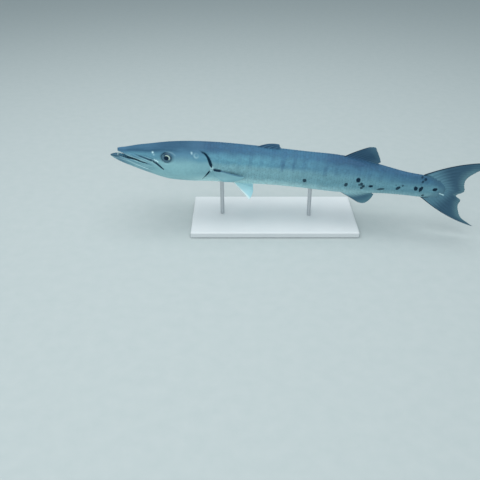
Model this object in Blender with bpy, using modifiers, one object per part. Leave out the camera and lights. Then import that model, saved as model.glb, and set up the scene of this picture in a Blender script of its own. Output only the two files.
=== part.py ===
"""A still, life-size great barracuda held over a plain display stand.

Units are metres with +Z up. The origin is the centre of the underside of the stand's base.
The head points to -X and the fish's left side faces -Y.

Most shapes are given in body coordinates (s, q, z): s runs along the spine as a share of the
standard length, 0 at the snout tip and 1 at the root of the tail fin, q runs across the body
with + on the fish's right side, and z runs up from the spine. place() turns them into metres
in the model's frame, with the body's bend and its head-up pitch.
"""

import math

import bmesh
import bpy
import numpy as np
from mathutils import Matrix, Vector

# Size and pose
STANDARD_LENGTH = 0.94
SPINE_HEIGHT = 0.176
HEAD_UP = math.radians(3.5)
HEAD_YAW = math.radians(1.0)
TAIL_BEND = math.radians(15.0)
BEND_START = 0.35
BEND_END = 1.05
SEED = 41

# Gap between neighbouring solids
GAP = 0.0003
GAP_SHARE = GAP / STANDARD_LENGTH

# Body stations: share of length, top, bottom, half width, squareness above and below
STATIONS = np.array([
    (-0.023, 0.0185, 0.0022, 0.0085, 2.0, 2.0),
    (0.000, 0.0285, -0.0100, 0.0115, 2.2, 2.0),
    (0.025, 0.0327, -0.0198, 0.0150, 2.5, 2.1),
    (0.060, 0.0397, -0.0312, 0.0198, 2.9, 2.1),
    (0.100, 0.0464, -0.0430, 0.0252, 3.0, 2.1),
    (0.160, 0.0552, -0.0580, 0.0330, 2.9, 2.1),
    (0.220, 0.0606, -0.0602, 0.0405, 2.5, 2.2),
    (0.300, 0.0624, -0.0562, 0.0465, 2.3, 2.2),
    (0.400, 0.0604, -0.0560, 0.0488, 2.2, 2.2),
    (0.500, 0.0565, -0.0547, 0.0482, 2.2, 2.2),
    (0.600, 0.0538, -0.0566, 0.0460, 2.2, 2.2),
    (0.700, 0.0536, -0.0584, 0.0425, 2.2, 2.2),
    (0.780, 0.0478, -0.0532, 0.0365, 2.2, 2.2),
    (0.850, 0.0374, -0.0446, 0.0295, 2.2, 2.2),
    (0.920, 0.0297, -0.0404, 0.0215, 2.2, 2.2),
    (0.970, 0.0299, -0.0389, 0.0158, 2.2, 2.2),
    (1.040, 0.0345, -0.0381, 0.0100, 2.2, 2.2),
])
TOP, BOTTOM, HALF_WIDTH, UPPER_POWER, LOWER_POWER = 1, 2, 3, 4, 5

# Points round one side of a body ring: the side arc, then the flat to the midline
ARC_POINTS = 17
FLAT_POINTS = 4
BELLY_FLAT = 0.0005

# Mouth: height of the upper and lower lip, and of the seam behind the mouth's corner
UPPER_LIP = np.array([(0.0, 0.0192), (0.010, 0.0194), (0.020, 0.0168), (0.030, 0.0122),
                      (0.042, 0.0088), (0.056, 0.0058), (0.080, -0.0012), (0.106, -0.0080)])
LOWER_LIP = np.array([(-0.023, 0.0062), (-0.010, 0.0088), (0.0, 0.0086), (0.012, 0.0067),
                      (0.024, 0.0045), (0.036, 0.0028), (0.056, 0.0012), (0.080, -0.0045),
                      (0.106, -0.0080)])
JAW_SEAM = np.array([(0.106, -0.0080), (0.125, -0.0250), (0.145, -0.0400), (0.163, -0.0570),
                     (0.172, -0.0670)])
CORNER = 0.106
CORNER_GAP_START = 0.092
JAW_END = 0.159
SNOUT_ROUND = 0.022
CHIN_TIP = -0.0228
CHIN_ROUND = 0.028
PALATE_RISE = 0.0025
MOUTH_FLOOR_DROP = 0.0035

# Rear edge of the gill cover: height on the side, share of length
GILL_EDGE = np.array([(-0.060, 0.2500), (-0.047, 0.2610), (-0.0333, 0.2735), (-0.0242, 0.2828),
                      (-0.013, 0.2918), (-0.004, 0.2995), (0.002, 0.3026), (0.008, 0.2992),
                      (0.0145, 0.2955), (0.0251, 0.2903), (0.0369, 0.2825), (0.0433, 0.2745),
                      (0.0480, 0.2670), (0.062, 0.2580)])
GILL_BLEND_START = 0.19
SHOULDER_END = 0.345
GILL_CORE = 0.260
NECK_SHARES = (0.90, 0.55, 0.20)
FLAP_RISE = 0.0014
SHOULDER_DIP = 0.0016

# Maxilla: a plate along the upper jaw, below this line
MAXILLA_TOP = np.array([(0.030, 0.0225), (0.0587, 0.0178), (0.080, 0.0132), (0.108, 0.0086),
                        (0.1244, 0.0013), (0.1361, -0.0090), (0.150, -0.0197), (0.157, -0.0245),
                        (0.163, -0.0300)])
MAXILLA_RISE = 0.0012
MAXILLA_EDGE = 0.004

# Trunk split and tail root
TRUNK_SPLIT = 0.70
STEM_BLEND_START = 0.95
TAIL_ROOT_REAR = 1.034
TAIL_ROOT_MIDDLE = -0.0050
TAIL_ROOT_HALF_HEIGHT = 0.0360
TAIL_ROOT_CURVE = 0.052
TAIL_ROOT_HALF_WIDTH = 0.0030
TAIL_FORK_SHARE = 0.003
TAIL_LEAD_SHARE = 0.04
TAIL_LEAD_LENGTH = 0.0160

# Eye
EYE_STATION = 0.1590
EYE_LEVEL = 0.0182
EYE_RADIUS = 0.0153
EYE_BACK = 0.0110
EYE_RIM_DROP = 0.0014
EYE_BULGE = 0.0034
EYE_FORWARD = math.radians(7.0)

# Nostrils on each side: share of length, height, radius
NOSTRILS = ((0.1144, 0.0305, 0.0012), (0.1184, 0.0275, 0.0010))
NOSTRIL_DEPTH = 0.0022

# Teeth
TOOTH_PITCH = 0.0070
TOOTH_SIDES = 5
TOOTH_SINK = 0.0022
TOOTH_RADIUS = 0.00125
TOOTH_INSET = 0.84
TOOTH_FIRST = 0.024
TOOTH_LAST = 0.090
TOOTH_MAX = 0.0052
FANG_RADIUS = 0.0017
FANG_ROOT_SINK = 0.0007

# Large front teeth on each side: share of length, share of the half width, length
UPPER_FANGS = ((0.0080, 0.50, 0.0082), (0.0160, 0.66, 0.0072))
LOWER_FANGS = ((0.0022, 0.30, 0.0072), (0.0130, 0.60, 0.0052))

# Thickness of fins, as half thickness
RAY_HALF_ROOT = 0.0016
RAY_HALF_TIP = 0.00042
MEMBRANE_SHARE = 0.5
MEMBRANE_HALF_LEAST = 0.00027
PECTORAL_LIFT = 0.0105

# Display stand
BASE_LENGTH = 0.50
BASE_WIDTH = 0.25
BASE_THICKNESS = 0.018
BASE_BEVEL = 0.004
ROD_RADIUS = 0.006
ROD_STATIONS = {"stand_rod_front": 0.335, "stand_rod_rear": 0.620}

# Colours: red, green, blue, then roughness and metallic
SKIN_BACK = ((0.075, 0.165, 0.235), 0.38, 0.1)
SKIN_FLANK = ((0.160, 0.300, 0.360), 0.32, 0.2)
FIN_DARK = ((0.040, 0.095, 0.130), 0.45, 0.0)
FIN_PALE = ((0.300, 0.460, 0.500), 0.40, 0.0)
EYE_DARK = ((0.020, 0.045, 0.055), 0.10, 0.0)
STAND_METAL = ((0.550, 0.560, 0.570), 0.35, 1.0)
STAND_BASE = ((0.620, 0.630, 0.640), 0.50, 0.0)


def clear_scene():
    """Remove every object that the scene starts with."""
    for item in list(bpy.data.objects):
        bpy.data.objects.remove(item, do_unlink=True)


def smooth_step(value):
    """0 below 0, 1 above 1, with level ends between."""
    value = np.clip(value, 0.0, 1.0)
    return value * value * (3.0 - 2.0 * value)


def smooth_curve(knots, values, at):
    """Cubic through the knots, each with the slope that its two neighbours give it."""
    slopes = np.gradient(values, knots)
    at = np.clip(at, knots[0], knots[-1])
    left = np.clip(np.searchsorted(knots, at, side="right") - 1, 0, len(knots) - 2)
    width = knots[left + 1] - knots[left]
    t = (at - knots[left]) / width
    start = (1 + 2 * t) * (1 - t) ** 2 * values[left] + t * (1 - t) ** 2 * width * slopes[left]
    end = t * t * (3 - 2 * t) * values[left + 1] - t * t * (1 - t) * width * slopes[left + 1]
    return start + end


def along(table, at):
    """Second column of a two-column table, read smoothly at the first."""
    return smooth_curve(table[:, 0], table[:, 1], at)


def station(column, s):
    """One column of the body stations at s."""
    return smooth_curve(STATIONS[:, 0], STATIONS[:, column], s)


def spine_table():
    """Points and headings along the bent spine, with its middle at x = y = 0."""
    share = np.linspace(-0.06, 1.30, 1361)
    heading = HEAD_YAW + TAIL_BEND * smooth_step((share - BEND_START) / (BEND_END - BEND_START))
    step = (share[1] - share[0]) * STANDARD_LENGTH
    x = np.concatenate([[0.0], np.cumsum(np.cos(heading[1:]) + np.cos(heading[:-1])) * step / 2])
    y = np.concatenate([[0.0], -np.cumsum(np.sin(heading[1:]) + np.sin(heading[:-1])) * step / 2])
    return share, x - np.interp(0.5, share, x), y - np.interp(0.5, share, y), heading


SPINE = spine_table()


def place(s, q, z):
    """Body coordinates to points in the model's frame, as an array with x, y, z last."""
    s, q, z = np.broadcast_arrays(np.asarray(s, float), np.asarray(q, float), np.asarray(z, float))
    share, spine_x, spine_y, spine_heading = SPINE
    heading = np.interp(s, share, spine_heading)
    x = np.interp(s, share, spine_x) + q * np.sin(heading)
    y = np.interp(s, share, spine_y) + q * np.cos(heading)
    forward = x * math.cos(HEAD_UP) + z * math.sin(HEAD_UP)
    height = z * math.cos(HEAD_UP) - x * math.sin(HEAD_UP) + SPINE_HEIGHT
    return np.stack([forward, y, height], axis=-1)


def outline(s, phi):
    """Half width and height of the body at s, at the angle phi down from the top."""
    top = station(TOP, s)
    bottom = station(BOTTOM, s)
    middle = (top + bottom) / 2
    power = np.where(np.cos(phi) > 0, station(UPPER_POWER, s), station(LOWER_POWER, s))
    q = station(HALF_WIDTH, s) * np.abs(np.sin(phi)) ** (2 / power)
    z = middle + (top - middle) * np.sign(np.cos(phi)) * np.abs(np.cos(phi)) ** (2 / power)
    return q, z


def angle_at(s, height):
    """Angle down from the top at which the outline passes a height."""
    top = station(TOP, s)
    bottom = station(BOTTOM, s)
    middle = (top + bottom) / 2
    reach = np.clip((height - middle) / (top - middle), -1.0, 1.0)
    power = np.where(reach > 0, station(UPPER_POWER, s), station(LOWER_POWER, s))
    return np.arccos(np.sign(reach) * np.abs(reach) ** (power / 2))


def side_width(s, height):
    """Half width of the body at s and at a height."""
    return outline(s, angle_at(s, height))[0]


def full_angles():
    """Angles of a whole ring's side arc, which ends just short of the belly's midline."""
    last = float(angle_at(0.4, station(BOTTOM, 0.4) + BELLY_FLAT))
    return np.linspace(0.0, last, ARC_POINTS)


FULL_ANGLES = full_angles()


def side_points(s, phi, widen=0.0):
    """One side of a full ring: the arc, moved out by widen, then the flat to the midline."""
    q, z = outline(s, phi)
    middle = (station(TOP, s) + station(BOTTOM, s)) / 2
    radius = np.maximum(np.hypot(q, z - middle), 0.001)
    q = q * (1 + widen / radius)
    z = middle + (z - middle) * (1 + widen / radius)
    flat = np.linspace(1.0, 0.0, FLAT_POINTS)[1:]
    s = np.broadcast_to(s, q.shape)
    s = np.concatenate([s, np.full(len(flat), s[-1])])
    q = np.concatenate([q, q[-1] * flat])
    z = np.concatenate([z, np.full(len(flat), z[-1])])
    return s, q, z


def whole_ring(s, q, z):
    """A side from top to bottom and its mirror image, as one closed ring of points."""
    near = place(s, -q, z)
    far = place(s, q, z)
    return np.concatenate([near, far[-2:0:-1]])


def material(name, look):
    """A Principled material with a colour, a roughness and a metallic value."""
    colour, roughness, metallic = look
    made = bpy.data.materials.new(name)
    made.use_nodes = True
    shader = made.node_tree.nodes["Principled BSDF"]
    shader.inputs["Base Color"].default_value = (*colour, 1.0)
    shader.inputs["Roughness"].default_value = roughness
    shader.inputs["Metallic"].default_value = metallic
    return made


def add_solid(name, points, faces, look):
    """A mesh object from points and faces, with its normals turned outwards."""
    mesh = bpy.data.meshes.new(name)
    mesh.from_pydata([tuple(point) for point in points], [], [tuple(face) for face in faces])
    sheet = bmesh.new()
    sheet.from_mesh(mesh)
    bmesh.ops.recalc_face_normals(sheet, faces=sheet.faces)
    sheet.to_mesh(mesh)
    sheet.free()
    solid = bpy.data.objects.new(name, mesh)
    solid.data.materials.append(material(name, look))
    PARTS.objects.link(solid)
    return solid


def loft(name, rings, look, turned=0):
    """A closed solid through rings of equal count, with a fan of triangles at each end.

    The first bands, as many as turned says, split their quads along the other diagonal.
    """
    rings = np.asarray(rings)
    count, width = rings.shape[:2]
    points = np.concatenate([rings.reshape(-1, 3), [rings[0].mean(axis=0)], [rings[-1].mean(axis=0)]])
    first, last = count * width, count * width + 1
    faces = []
    for i in range(count - 1):
        for j in range(width):
            a, b = i * width + j, i * width + (j + 1) % width
            if i < turned:
                faces.append((a, b, a + width))
                faces.append((b, b + width, a + width))
            else:
                faces.append((a, b, b + width))
                faces.append((a, b + width, a + width))
    for j in range(width):
        faces.append((first, (j + 1) % width, j))
        end = (count - 1) * width
        faces.append((last, end + j, end + (j + 1) % width))
    return add_solid(name, points, faces, look)


def vane(name, middle, half, look):
    """A closed fin: a grid of points, moved out by half along its normal to both faces."""
    normal = np.cross(np.gradient(middle, axis=0), np.gradient(middle, axis=1))
    normal /= np.linalg.norm(normal, axis=-1, keepdims=True)
    offset = normal * half[..., None]
    columns, rows = middle.shape[:2]
    total = columns * rows
    points = np.concatenate([(middle + offset).reshape(-1, 3), (middle - offset).reshape(-1, 3)])
    faces = []
    for i in range(columns - 1):
        for j in range(rows - 1):
            a, b, c, d = i * rows + j, (i + 1) * rows + j, (i + 1) * rows + j + 1, i * rows + j + 1
            for face in ((a, b, c), (a, c, d)):
                faces.append(face)
                faces.append(tuple(total + k for k in reversed(face)))
    rim = [i * rows for i in range(columns)]
    rim += [(columns - 1) * rows + j for j in range(1, rows)]
    rim += [i * rows + rows - 1 for i in range(columns - 2, -1, -1)]
    rim += [j for j in range(rows - 2, 0, -1)]
    for a, b in zip(rim, rim[1:] + rim[:1]):
        faces.append((a, total + a, total + b))
        faces.append((a, total + b, b))
    return add_solid(name, points, faces, look)


def settled_mesh(solid):
    """Apply a solid's modifiers and keep only its largest closed surface."""
    graph = bpy.context.evaluated_depsgraph_get()
    graph.update()
    mesh = bpy.data.meshes.new_from_object(solid.evaluated_get(graph))
    solid.modifiers.clear()
    sheet = bmesh.new()
    sheet.from_mesh(mesh)
    bmesh.ops.triangulate(sheet, faces=sheet.faces)
    unseen = set(sheet.faces)
    islands = []
    while unseen:
        island = set()
        front = [unseen.pop()]
        while front:
            face = front.pop()
            island.add(face)
            for edge in face.edges:
                for other in edge.link_faces:
                    if other in unseen:
                        unseen.remove(other)
                        front.append(other)
        islands.append(island)
    islands.sort(key=lambda island: sum(face.calc_area() for face in island))
    for island in islands[:-1]:
        bmesh.ops.delete(sheet, geom=list(island), context="FACES")
    sheet.to_mesh(mesh)
    sheet.free()
    solid.data = mesh


def combine(solid, pieces, operation):
    """Join pieces to a solid, or cut them from it, and remove the pieces."""
    group = bpy.data.collections.new(solid.name + "_pieces")
    bpy.context.scene.collection.children.link(group)
    for piece in pieces:
        for owner in list(piece.users_collection):
            owner.objects.unlink(piece)
        group.objects.link(piece)
    change = solid.modifiers.new("combine", "BOOLEAN")
    change.operation = operation
    change.operand_type = "COLLECTION"
    change.collection = group
    change.solver = "EXACT"
    settled_mesh(solid)
    for piece in pieces:
        bpy.data.objects.remove(piece, do_unlink=True)
    bpy.data.collections.remove(group)


def seam_height(s):
    """Height of the cut between head and lower jaw behind the mouth's corner."""
    return along(JAW_SEAM, s)


def maxilla_rise(s, z):
    """How far the maxilla's plate stands out at a point of the side."""
    below = smooth_step((along(MAXILLA_TOP, s) - z) / MAXILLA_EDGE + 0.5)
    length = smooth_step((s - 0.02) / 0.03) * smooth_step((0.166 - s) / 0.008)
    return MAXILLA_RISE * below * length


def clipped_side(s, height, upper, hollow, round_off):
    """One side of a head or jaw ring: the arc on one side of a height, then the flat there."""
    limit = float(angle_at(s, height))
    start, end = (0.0, limit) if upper else (math.pi, limit)
    phi = np.linspace(start, end, ARC_POINTS)
    q, z = outline(s, phi)
    if upper:
        q = q + maxilla_rise(s, z)
    q = q * round_off
    flat = np.linspace(1.0, 0.0, FLAT_POINTS)[1:]
    q_flat = q[-1] * flat
    z_flat = height + hollow * (1 - flat ** 2)
    q = np.concatenate([q, q_flat])
    z = np.concatenate([z, z_flat])
    q[0] = 0.0
    return np.full(len(q), s), q, z


def roundness(s, tip, length):
    """Share of the full width near a rounded front end."""
    back = np.clip((s - tip) / length, 0.0, 1.0)
    return math.sqrt(1.0 - (1.0 - back) ** 2)


def gill_station(phi):
    """Share of length of the gill cover's rear edge for each angle round the body."""
    return along(GILL_EDGE, outline(0.28, phi)[1])


def gill_weight(phi):
    """1 on the sides, where the gill cover is free, and 0 at the nape and the belly."""
    return smooth_step((np.sin(phi) - 0.30) / 0.30)


def neck_rings(shift):
    """Rings that close the cut at the gills, from near its rim to near its centre."""
    rings = []
    edge = gill_station(FULL_ANGLES)
    for share in NECK_SHARES:
        s, q, z = side_points(edge, FULL_ANGLES)
        middle = float((station(TOP, 0.28) + station(BOTTOM, 0.28)) / 2)
        s = GILL_CORE + (s - GILL_CORE) * share + shift
        rings.append(whole_ring(s, q * share, middle + (z - middle) * share))
    return rings


def make_head():
    """Upper head with the gill covers, from the snout tip to the gill opening."""
    rings = []
    front = [0.0005, 0.002, 0.005, 0.009, 0.014, 0.020, 0.027, 0.034, 0.042, 0.050, 0.058,
             0.066, 0.074, 0.082, 0.090, 0.098, CORNER]
    for s in front:
        height = float(along(UPPER_LIP, s))
        hollow = PALATE_RISE * float(smooth_step((CORNER - s) / 0.03)) * roundness(s, 0.0, SNOUT_ROUND)
        rings.append(whole_ring(*clipped_side(s, height, True, hollow, roundness(s, 0.0, SNOUT_ROUND))))
    for s in (0.114, 0.122, 0.130, 0.138, 0.146, 0.153, JAW_END + 0.001, 0.1655, 0.172, 0.181):
        least = float(station(BOTTOM, s)) + BELLY_FLAT
        height = max(float(seam_height(s)), least)
        rings.append(whole_ring(*clipped_side(s, height, True, 0.0, 1.0)))
    edge = gill_station(FULL_ANGLES)
    for share in np.linspace(0.0, 1.0, 13):
        s = GILL_BLEND_START + (edge - GILL_BLEND_START) * share
        rise = FLAP_RISE * gill_weight(FULL_ANGLES) * smooth_step((share - 0.55) / 0.45)
        rings.append(whole_ring(*side_points(s, FULL_ANGLES, rise)))
    rings += neck_rings(0.0)
    return loft("head", rings, SKIN_BACK)


def make_lower_jaw():
    """Lower jaw from the chin to its slanting rear seam."""
    rings = []
    stations = [CHIN_TIP + 0.0003, -0.0215, -0.019, -0.0155, -0.011, -0.006, 0.0, 0.007, 0.014,
                0.020, 0.027, 0.034, 0.042, 0.050, 0.058, 0.066, 0.074, 0.082, 0.090, 0.098,
                CORNER, 0.114, 0.122, 0.130, 0.138, 0.146, 0.153, JAW_END]
    for s in stations:
        in_mouth = s < CORNER
        height = float(along(LOWER_LIP, s)) if in_mouth else float(seam_height(s))
        height = height - 1.5 * GAP * float(smooth_step((s - CORNER_GAP_START) / 0.012))
        hollow = MOUTH_FLOOR_DROP * float(smooth_step((s - 0.002) / 0.02) * smooth_step((CORNER - s) / 0.03))
        round_off = roundness(s, CHIN_TIP, CHIN_ROUND)
        rings.append(whole_ring(*clipped_side(s, height, False, -hollow, round_off)))
    return loft("lower_jaw", rings, SKIN_FLANK)


def make_torso():
    """Trunk from the gill opening to the split before the second dorsal fin."""
    shift = 1.3 * GAP_SHARE
    rings = list(reversed(neck_rings(shift)))
    edge = gill_station(FULL_ANGLES) + shift
    for share in (0.0, 0.08, 0.18, 0.30, 0.45, 0.60, 0.80, 1.0):
        s = edge + (SHOULDER_END - edge) * share
        dip = -SHOULDER_DIP * gill_weight(FULL_ANGLES) * smooth_step((0.5 - share) / 0.5)
        rings.append(whole_ring(*side_points(s, FULL_ANGLES, dip)))
    for s in np.linspace(SHOULDER_END, TRUNK_SPLIT, 20)[1:]:
        rings.append(whole_ring(*side_points(s, FULL_ANGLES)))
    return loft("torso", rings, SKIN_FLANK, turned=len(NECK_SHARES))


def tail_root_station(z):
    """Share of length of the tail fin's root at a height."""
    return TAIL_ROOT_REAR - TAIL_ROOT_CURVE * ((z - TAIL_ROOT_MIDDLE) / TAIL_ROOT_HALF_HEIGHT) ** 2


def make_tail_stem():
    """Tail from the split to the rounded root of the tail fin, which it thins down to."""
    rings = []
    for s in np.linspace(TRUNK_SPLIT + GAP_SHARE, STEM_BLEND_START, 14)[:-1]:
        rings.append(whole_ring(*side_points(s, FULL_ANGLES)))
    end = tail_root_station(outline(1.0, FULL_ANGLES)[1])
    for share in np.linspace(0.0, 1.0, 8):
        s = STEM_BLEND_START + (end - STEM_BLEND_START) * share
        s, q, z = side_points(s, FULL_ANGLES)
        thin = TAIL_ROOT_HALF_WIDTH * np.minimum(q / q.max() * 1.6, 1.0)
        blend = smooth_step(share)
        rings.append(whole_ring(s, q * (1 - blend) + thin * blend, z))
    return loft("tail_stem", rings, SKIN_BACK)


def ray_columns(rays, first=0.0, last=1.0):
    """Places of a fin's columns from first to last, three to a ray, and which are rays."""
    number = np.arange(3 * (rays - 1) + 1)
    return first + (last - first) * number / number[-1], number % 3 == 0


def ray_half(is_ray, v, root, tip):
    """Half thickness of a fin over its columns and rows, thicker on the rays."""
    taper = root + (tip - root) * v ** 0.7
    half = np.where(is_ray[:, None], taper[None, :], taper[None, :] * MEMBRANE_SHARE)
    return np.maximum(half, MEMBRANE_HALF_LEAST)


def fan(table, u):
    """Place along a table of (u, s, z) rows, read smoothly."""
    return smooth_curve(table[:, 0], table[:, 1], u), smooth_curve(table[:, 0], table[:, 2], u)


def median_fin(name, rays, rows, roots, tips, bow, root_half, look, first=0.0, last=1.0):
    """A fin on the midline: rays from a root line to a tip line, bowed sideways in the plane."""
    u, is_ray = ray_columns(rays, first, last)
    v = np.linspace(0.0, 1.0, rows)
    root_s, root_z = roots(u)
    tip_s, tip_z = fan(tips, u)
    s = root_s[:, None] + (tip_s - root_s)[:, None] * v
    z = root_z[:, None] + (tip_z - root_z)[:, None] * v + bow(u)[:, None] * 4 * v * (1 - v)
    half = ray_half(is_ray, v, root_half, RAY_HALF_TIP)
    return vane(name, place(s, 0.0, z), half, look)


def back_line(first, last, side):
    """Root line of a fin that stands on the back or under the belly."""
    def roots(u):
        s = first + (last - first) * u
        if side > 0:
            return s, station(TOP, s) + GAP
        return s, station(BOTTOM, s) - GAP
    return roots


def tail_root_line(u):
    """Root line of the tail fin: behind the tail's rounded end, with a lead along back and belly."""
    z = 0.0305 - 0.0700 * np.clip((u - TAIL_LEAD_SHARE) / (1 - 2 * TAIL_LEAD_SHARE), 0.0, 1.0)
    lead = np.clip(1 - np.minimum(u, 1 - u) / TAIL_LEAD_SHARE, 0.0, 1.0)
    return tail_root_station(z) + 1.3 * GAP_SHARE - TAIL_LEAD_LENGTH * lead, z


FIRST_DORSAL_TIPS = np.array([(0.0, 0.5080, 0.0718), (0.3, 0.5098, 0.0697), (0.6, 0.5108, 0.0657),
                              (1.0, 0.5145, 0.0604)])
SECOND_DORSAL_TIPS = np.array([(0.0, 0.7860, 0.0908), (0.1, 0.8020, 0.0928), (0.3, 0.8115, 0.0830),
                               (0.55, 0.8190, 0.0695), (0.8, 0.8258, 0.0560), (1.0, 0.8278, 0.0490)])
ANAL_TIPS = np.array([(0.0, 0.7780, -0.0882), (0.15, 0.7910, -0.0892), (0.45, 0.8092, -0.0793),
                      (0.75, 0.8182, -0.0662), (1.0, 0.8222, -0.0545)])
TAIL_TIPS = np.array([(0.0, 1.158, 0.099), (0.06, 1.136, 0.081), (0.13, 1.111, 0.061),
                      (0.20, 1.0955, 0.047), (0.27, 1.0876, 0.0345), (0.35, 1.0868, 0.0190),
                      (0.43, 1.0905, -0.0015), (0.50, 1.0706, -0.0170), (0.57, 1.0857, -0.0290),
                      (0.65, 1.0824, -0.0450), (0.75, 1.0868, -0.0630), (0.86, 1.1016, -0.0850),
                      (0.94, 1.124, -0.097), (1.0, 1.143, -0.106)])
FIRST_DORSAL_BOW = 0.0055
SECOND_DORSAL_BOW = 0.0020
TAIL_SPREAD = 0.011


def make_median_fins():
    """Both dorsal fins, the anal fin and the two lobes of the tail fin, parted at the fork."""
    level = lambda u: np.zeros_like(u)
    first_bow = lambda u: FIRST_DORSAL_BOW * (1 - u)
    second_bow = lambda u: SECOND_DORSAL_BOW * (1 - u)
    spread = lambda u: TAIL_SPREAD * (smooth_step((0.35 - u) / 0.35) - smooth_step((u - 0.65) / 0.35))
    median_fin("first_dorsal_fin", 5, 6, back_line(0.437, 0.508, 1), FIRST_DORSAL_TIPS,
               first_bow, 0.0015, FIN_DARK)
    median_fin("second_dorsal_fin", 10, 7, back_line(0.712, 0.815, 1), SECOND_DORSAL_TIPS,
               second_bow, 0.0018, FIN_DARK)
    median_fin("anal_fin", 9, 7, back_line(0.709, 0.806, -1), ANAL_TIPS, level, 0.0018, FIN_DARK)
    median_fin("tail_fin_upper", 9, 8, tail_root_line, TAIL_TIPS, spread, 0.0024, FIN_DARK,
               0.0, 0.5 - TAIL_FORK_SHARE)
    median_fin("tail_fin_lower", 9, 8, tail_root_line, TAIL_TIPS, spread, 0.0024, FIN_DARK,
               0.5 + TAIL_FORK_SHARE, 1.0)


def make_pectoral(side, name):
    """Pectoral fin behind the gill cover, laid back along the flank and a little off it."""
    u, is_ray = ray_columns(10)
    v = np.linspace(0.0, 1.0, 7)
    root_s = 0.3100 + 0.0030 * u
    root_z = -0.0020 - 0.0230 * u
    tip_s = smooth_curve(np.array([0.0, 0.3, 0.7, 1.0]), np.array([0.409, 0.394, 0.362, 0.340]), u)
    tip_z = smooth_curve(np.array([0.0, 0.3, 0.7, 1.0]), np.array([-0.015, -0.027, -0.038, -0.040]), u)
    s = root_s[:, None] + (tip_s - root_s)[:, None] * v
    z = root_z[:, None] + (tip_z - root_z)[:, None] * v
    half = ray_half(is_ray, v, RAY_HALF_ROOT, RAY_HALF_TIP)
    lift = GAP + half.max(axis=0)[None, :] + PECTORAL_LIFT * v[None, :] ** 1.1
    q = side * (side_width(s, z) + lift)
    return vane(name, place(s, q, z), half, FIN_PALE)


def make_pelvic(side, name):
    """Pelvic fin under the belly, spread down, back and outwards."""
    u, is_ray = ray_columns(6)
    v = np.linspace(0.0, 1.0, 7)
    knots = np.array([0.0, 0.3, 0.65, 1.0])
    root_s = 0.372 + 0.019 * u
    root_q = 0.0150 - 0.0040 * u
    root_z = -(outline_bottom(root_s, root_q)) - GAP - RAY_HALF_ROOT
    tip_s = smooth_curve(knots, np.array([0.427, 0.433, 0.437, 0.436]), u)
    tip_z = smooth_curve(knots, np.array([-0.1005, -0.090, -0.077, -0.067]), u)
    tip_q = smooth_curve(knots, np.array([0.030, 0.026, 0.019, 0.012]), u)
    s = root_s[:, None] + (tip_s - root_s)[:, None] * v
    z = root_z[:, None] + (tip_z - root_z)[:, None] * v
    q = side * (root_q[:, None] + (tip_q - root_q)[:, None] * v)
    half = ray_half(is_ray, v, RAY_HALF_ROOT, RAY_HALF_TIP)
    return vane(name, place(s, q, z), half, FIN_PALE)


def outline_bottom(s, q):
    """Depth below the spine of the belly's surface at a distance q from the midline."""
    bottom = station(BOTTOM, s)
    middle = (station(TOP, s) + bottom) / 2
    power = station(LOWER_POWER, s)
    share = np.clip(q / station(HALF_WIDTH, s), 0.0, 1.0)
    return -(middle + (bottom - middle) * (1 - share ** power) ** (1 / power))


def facing_matrix(s, z, side, depth):
    """Matrix at a point of the head's side, sunk by depth, whose +Z looks out of the head."""
    width = float(side_width(s, z)) - depth
    centre = place(s, side * width, z)
    ahead = place(s - 0.01, side * width, z) - centre
    out = place(s, side * (width + 0.01), z) - centre
    out = out / np.linalg.norm(out) * math.cos(EYE_FORWARD) + ahead / np.linalg.norm(ahead) * math.sin(EYE_FORWARD)
    turn = Vector((0.0, 0.0, 1.0)).rotation_difference(Vector(out))
    return Matrix.Translation(Vector(centre)) @ turn.to_matrix().to_4x4()


def add_cylinder(name, radius, low, high, sides, matrix):
    """A closed cylinder from z = low to z = high of a frame."""
    mesh = bpy.data.meshes.new(name)
    sheet = bmesh.new()
    bmesh.ops.create_cone(sheet, cap_ends=True, segments=sides, radius1=radius, radius2=radius,
                          depth=high - low, matrix=Matrix.Translation((0.0, 0.0, (low + high) / 2)))
    sheet.to_mesh(mesh)
    sheet.free()
    solid = bpy.data.objects.new(name, mesh)
    solid.matrix_world = matrix
    bpy.context.scene.collection.objects.link(solid)
    return solid


def make_eye(side, name):
    """Eye: a turned disc with a domed front, set in its socket."""
    angles = np.linspace(0.0, math.pi / 2, 6)
    dome = [(EYE_RADIUS * math.sin(a), -EYE_RIM_DROP + EYE_BULGE * math.cos(a)) for a in angles]
    dome[0] = (0.0, dome[0][1])
    profile = dome + [(EYE_RADIUS * 0.86, -EYE_BACK), (0.0, -EYE_BACK)]
    mesh = bpy.data.meshes.new(name)
    edges = [(i, i + 1) for i in range(len(profile) - 1)]
    mesh.from_pydata([(radius, 0.0, height) for radius, height in profile], edges, [])
    eye = bpy.data.objects.new(name, mesh)
    eye.data.materials.append(material(name, EYE_DARK))
    PARTS.objects.link(eye)
    turn = eye.modifiers.new("turn", "SCREW")
    turn.steps = 20
    turn.render_steps = 20
    turn.use_merge_vertices = True
    turn.merge_threshold = 0.00001
    turn.use_normal_calculate = True
    eye.matrix_world = facing_matrix(EYE_STATION, EYE_LEVEL, side, 0.0)
    return eye


def head_cutters():
    """Sockets of both eyes and the pits of the nostrils."""
    cutters = []
    for side in (-1, 1):
        socket = facing_matrix(EYE_STATION, EYE_LEVEL, side, 0.0)
        cutters.append(add_cylinder("socket", EYE_RADIUS + GAP, -EYE_BACK - GAP, 0.02, 24, socket))
        for s, z, radius in NOSTRILS:
            pit = facing_matrix(s, z, side, 0.0)
            cutters.append(add_cylinder("nostril", radius, -NOSTRIL_DEPTH, 0.01, 8, pit))
    return cutters


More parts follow.
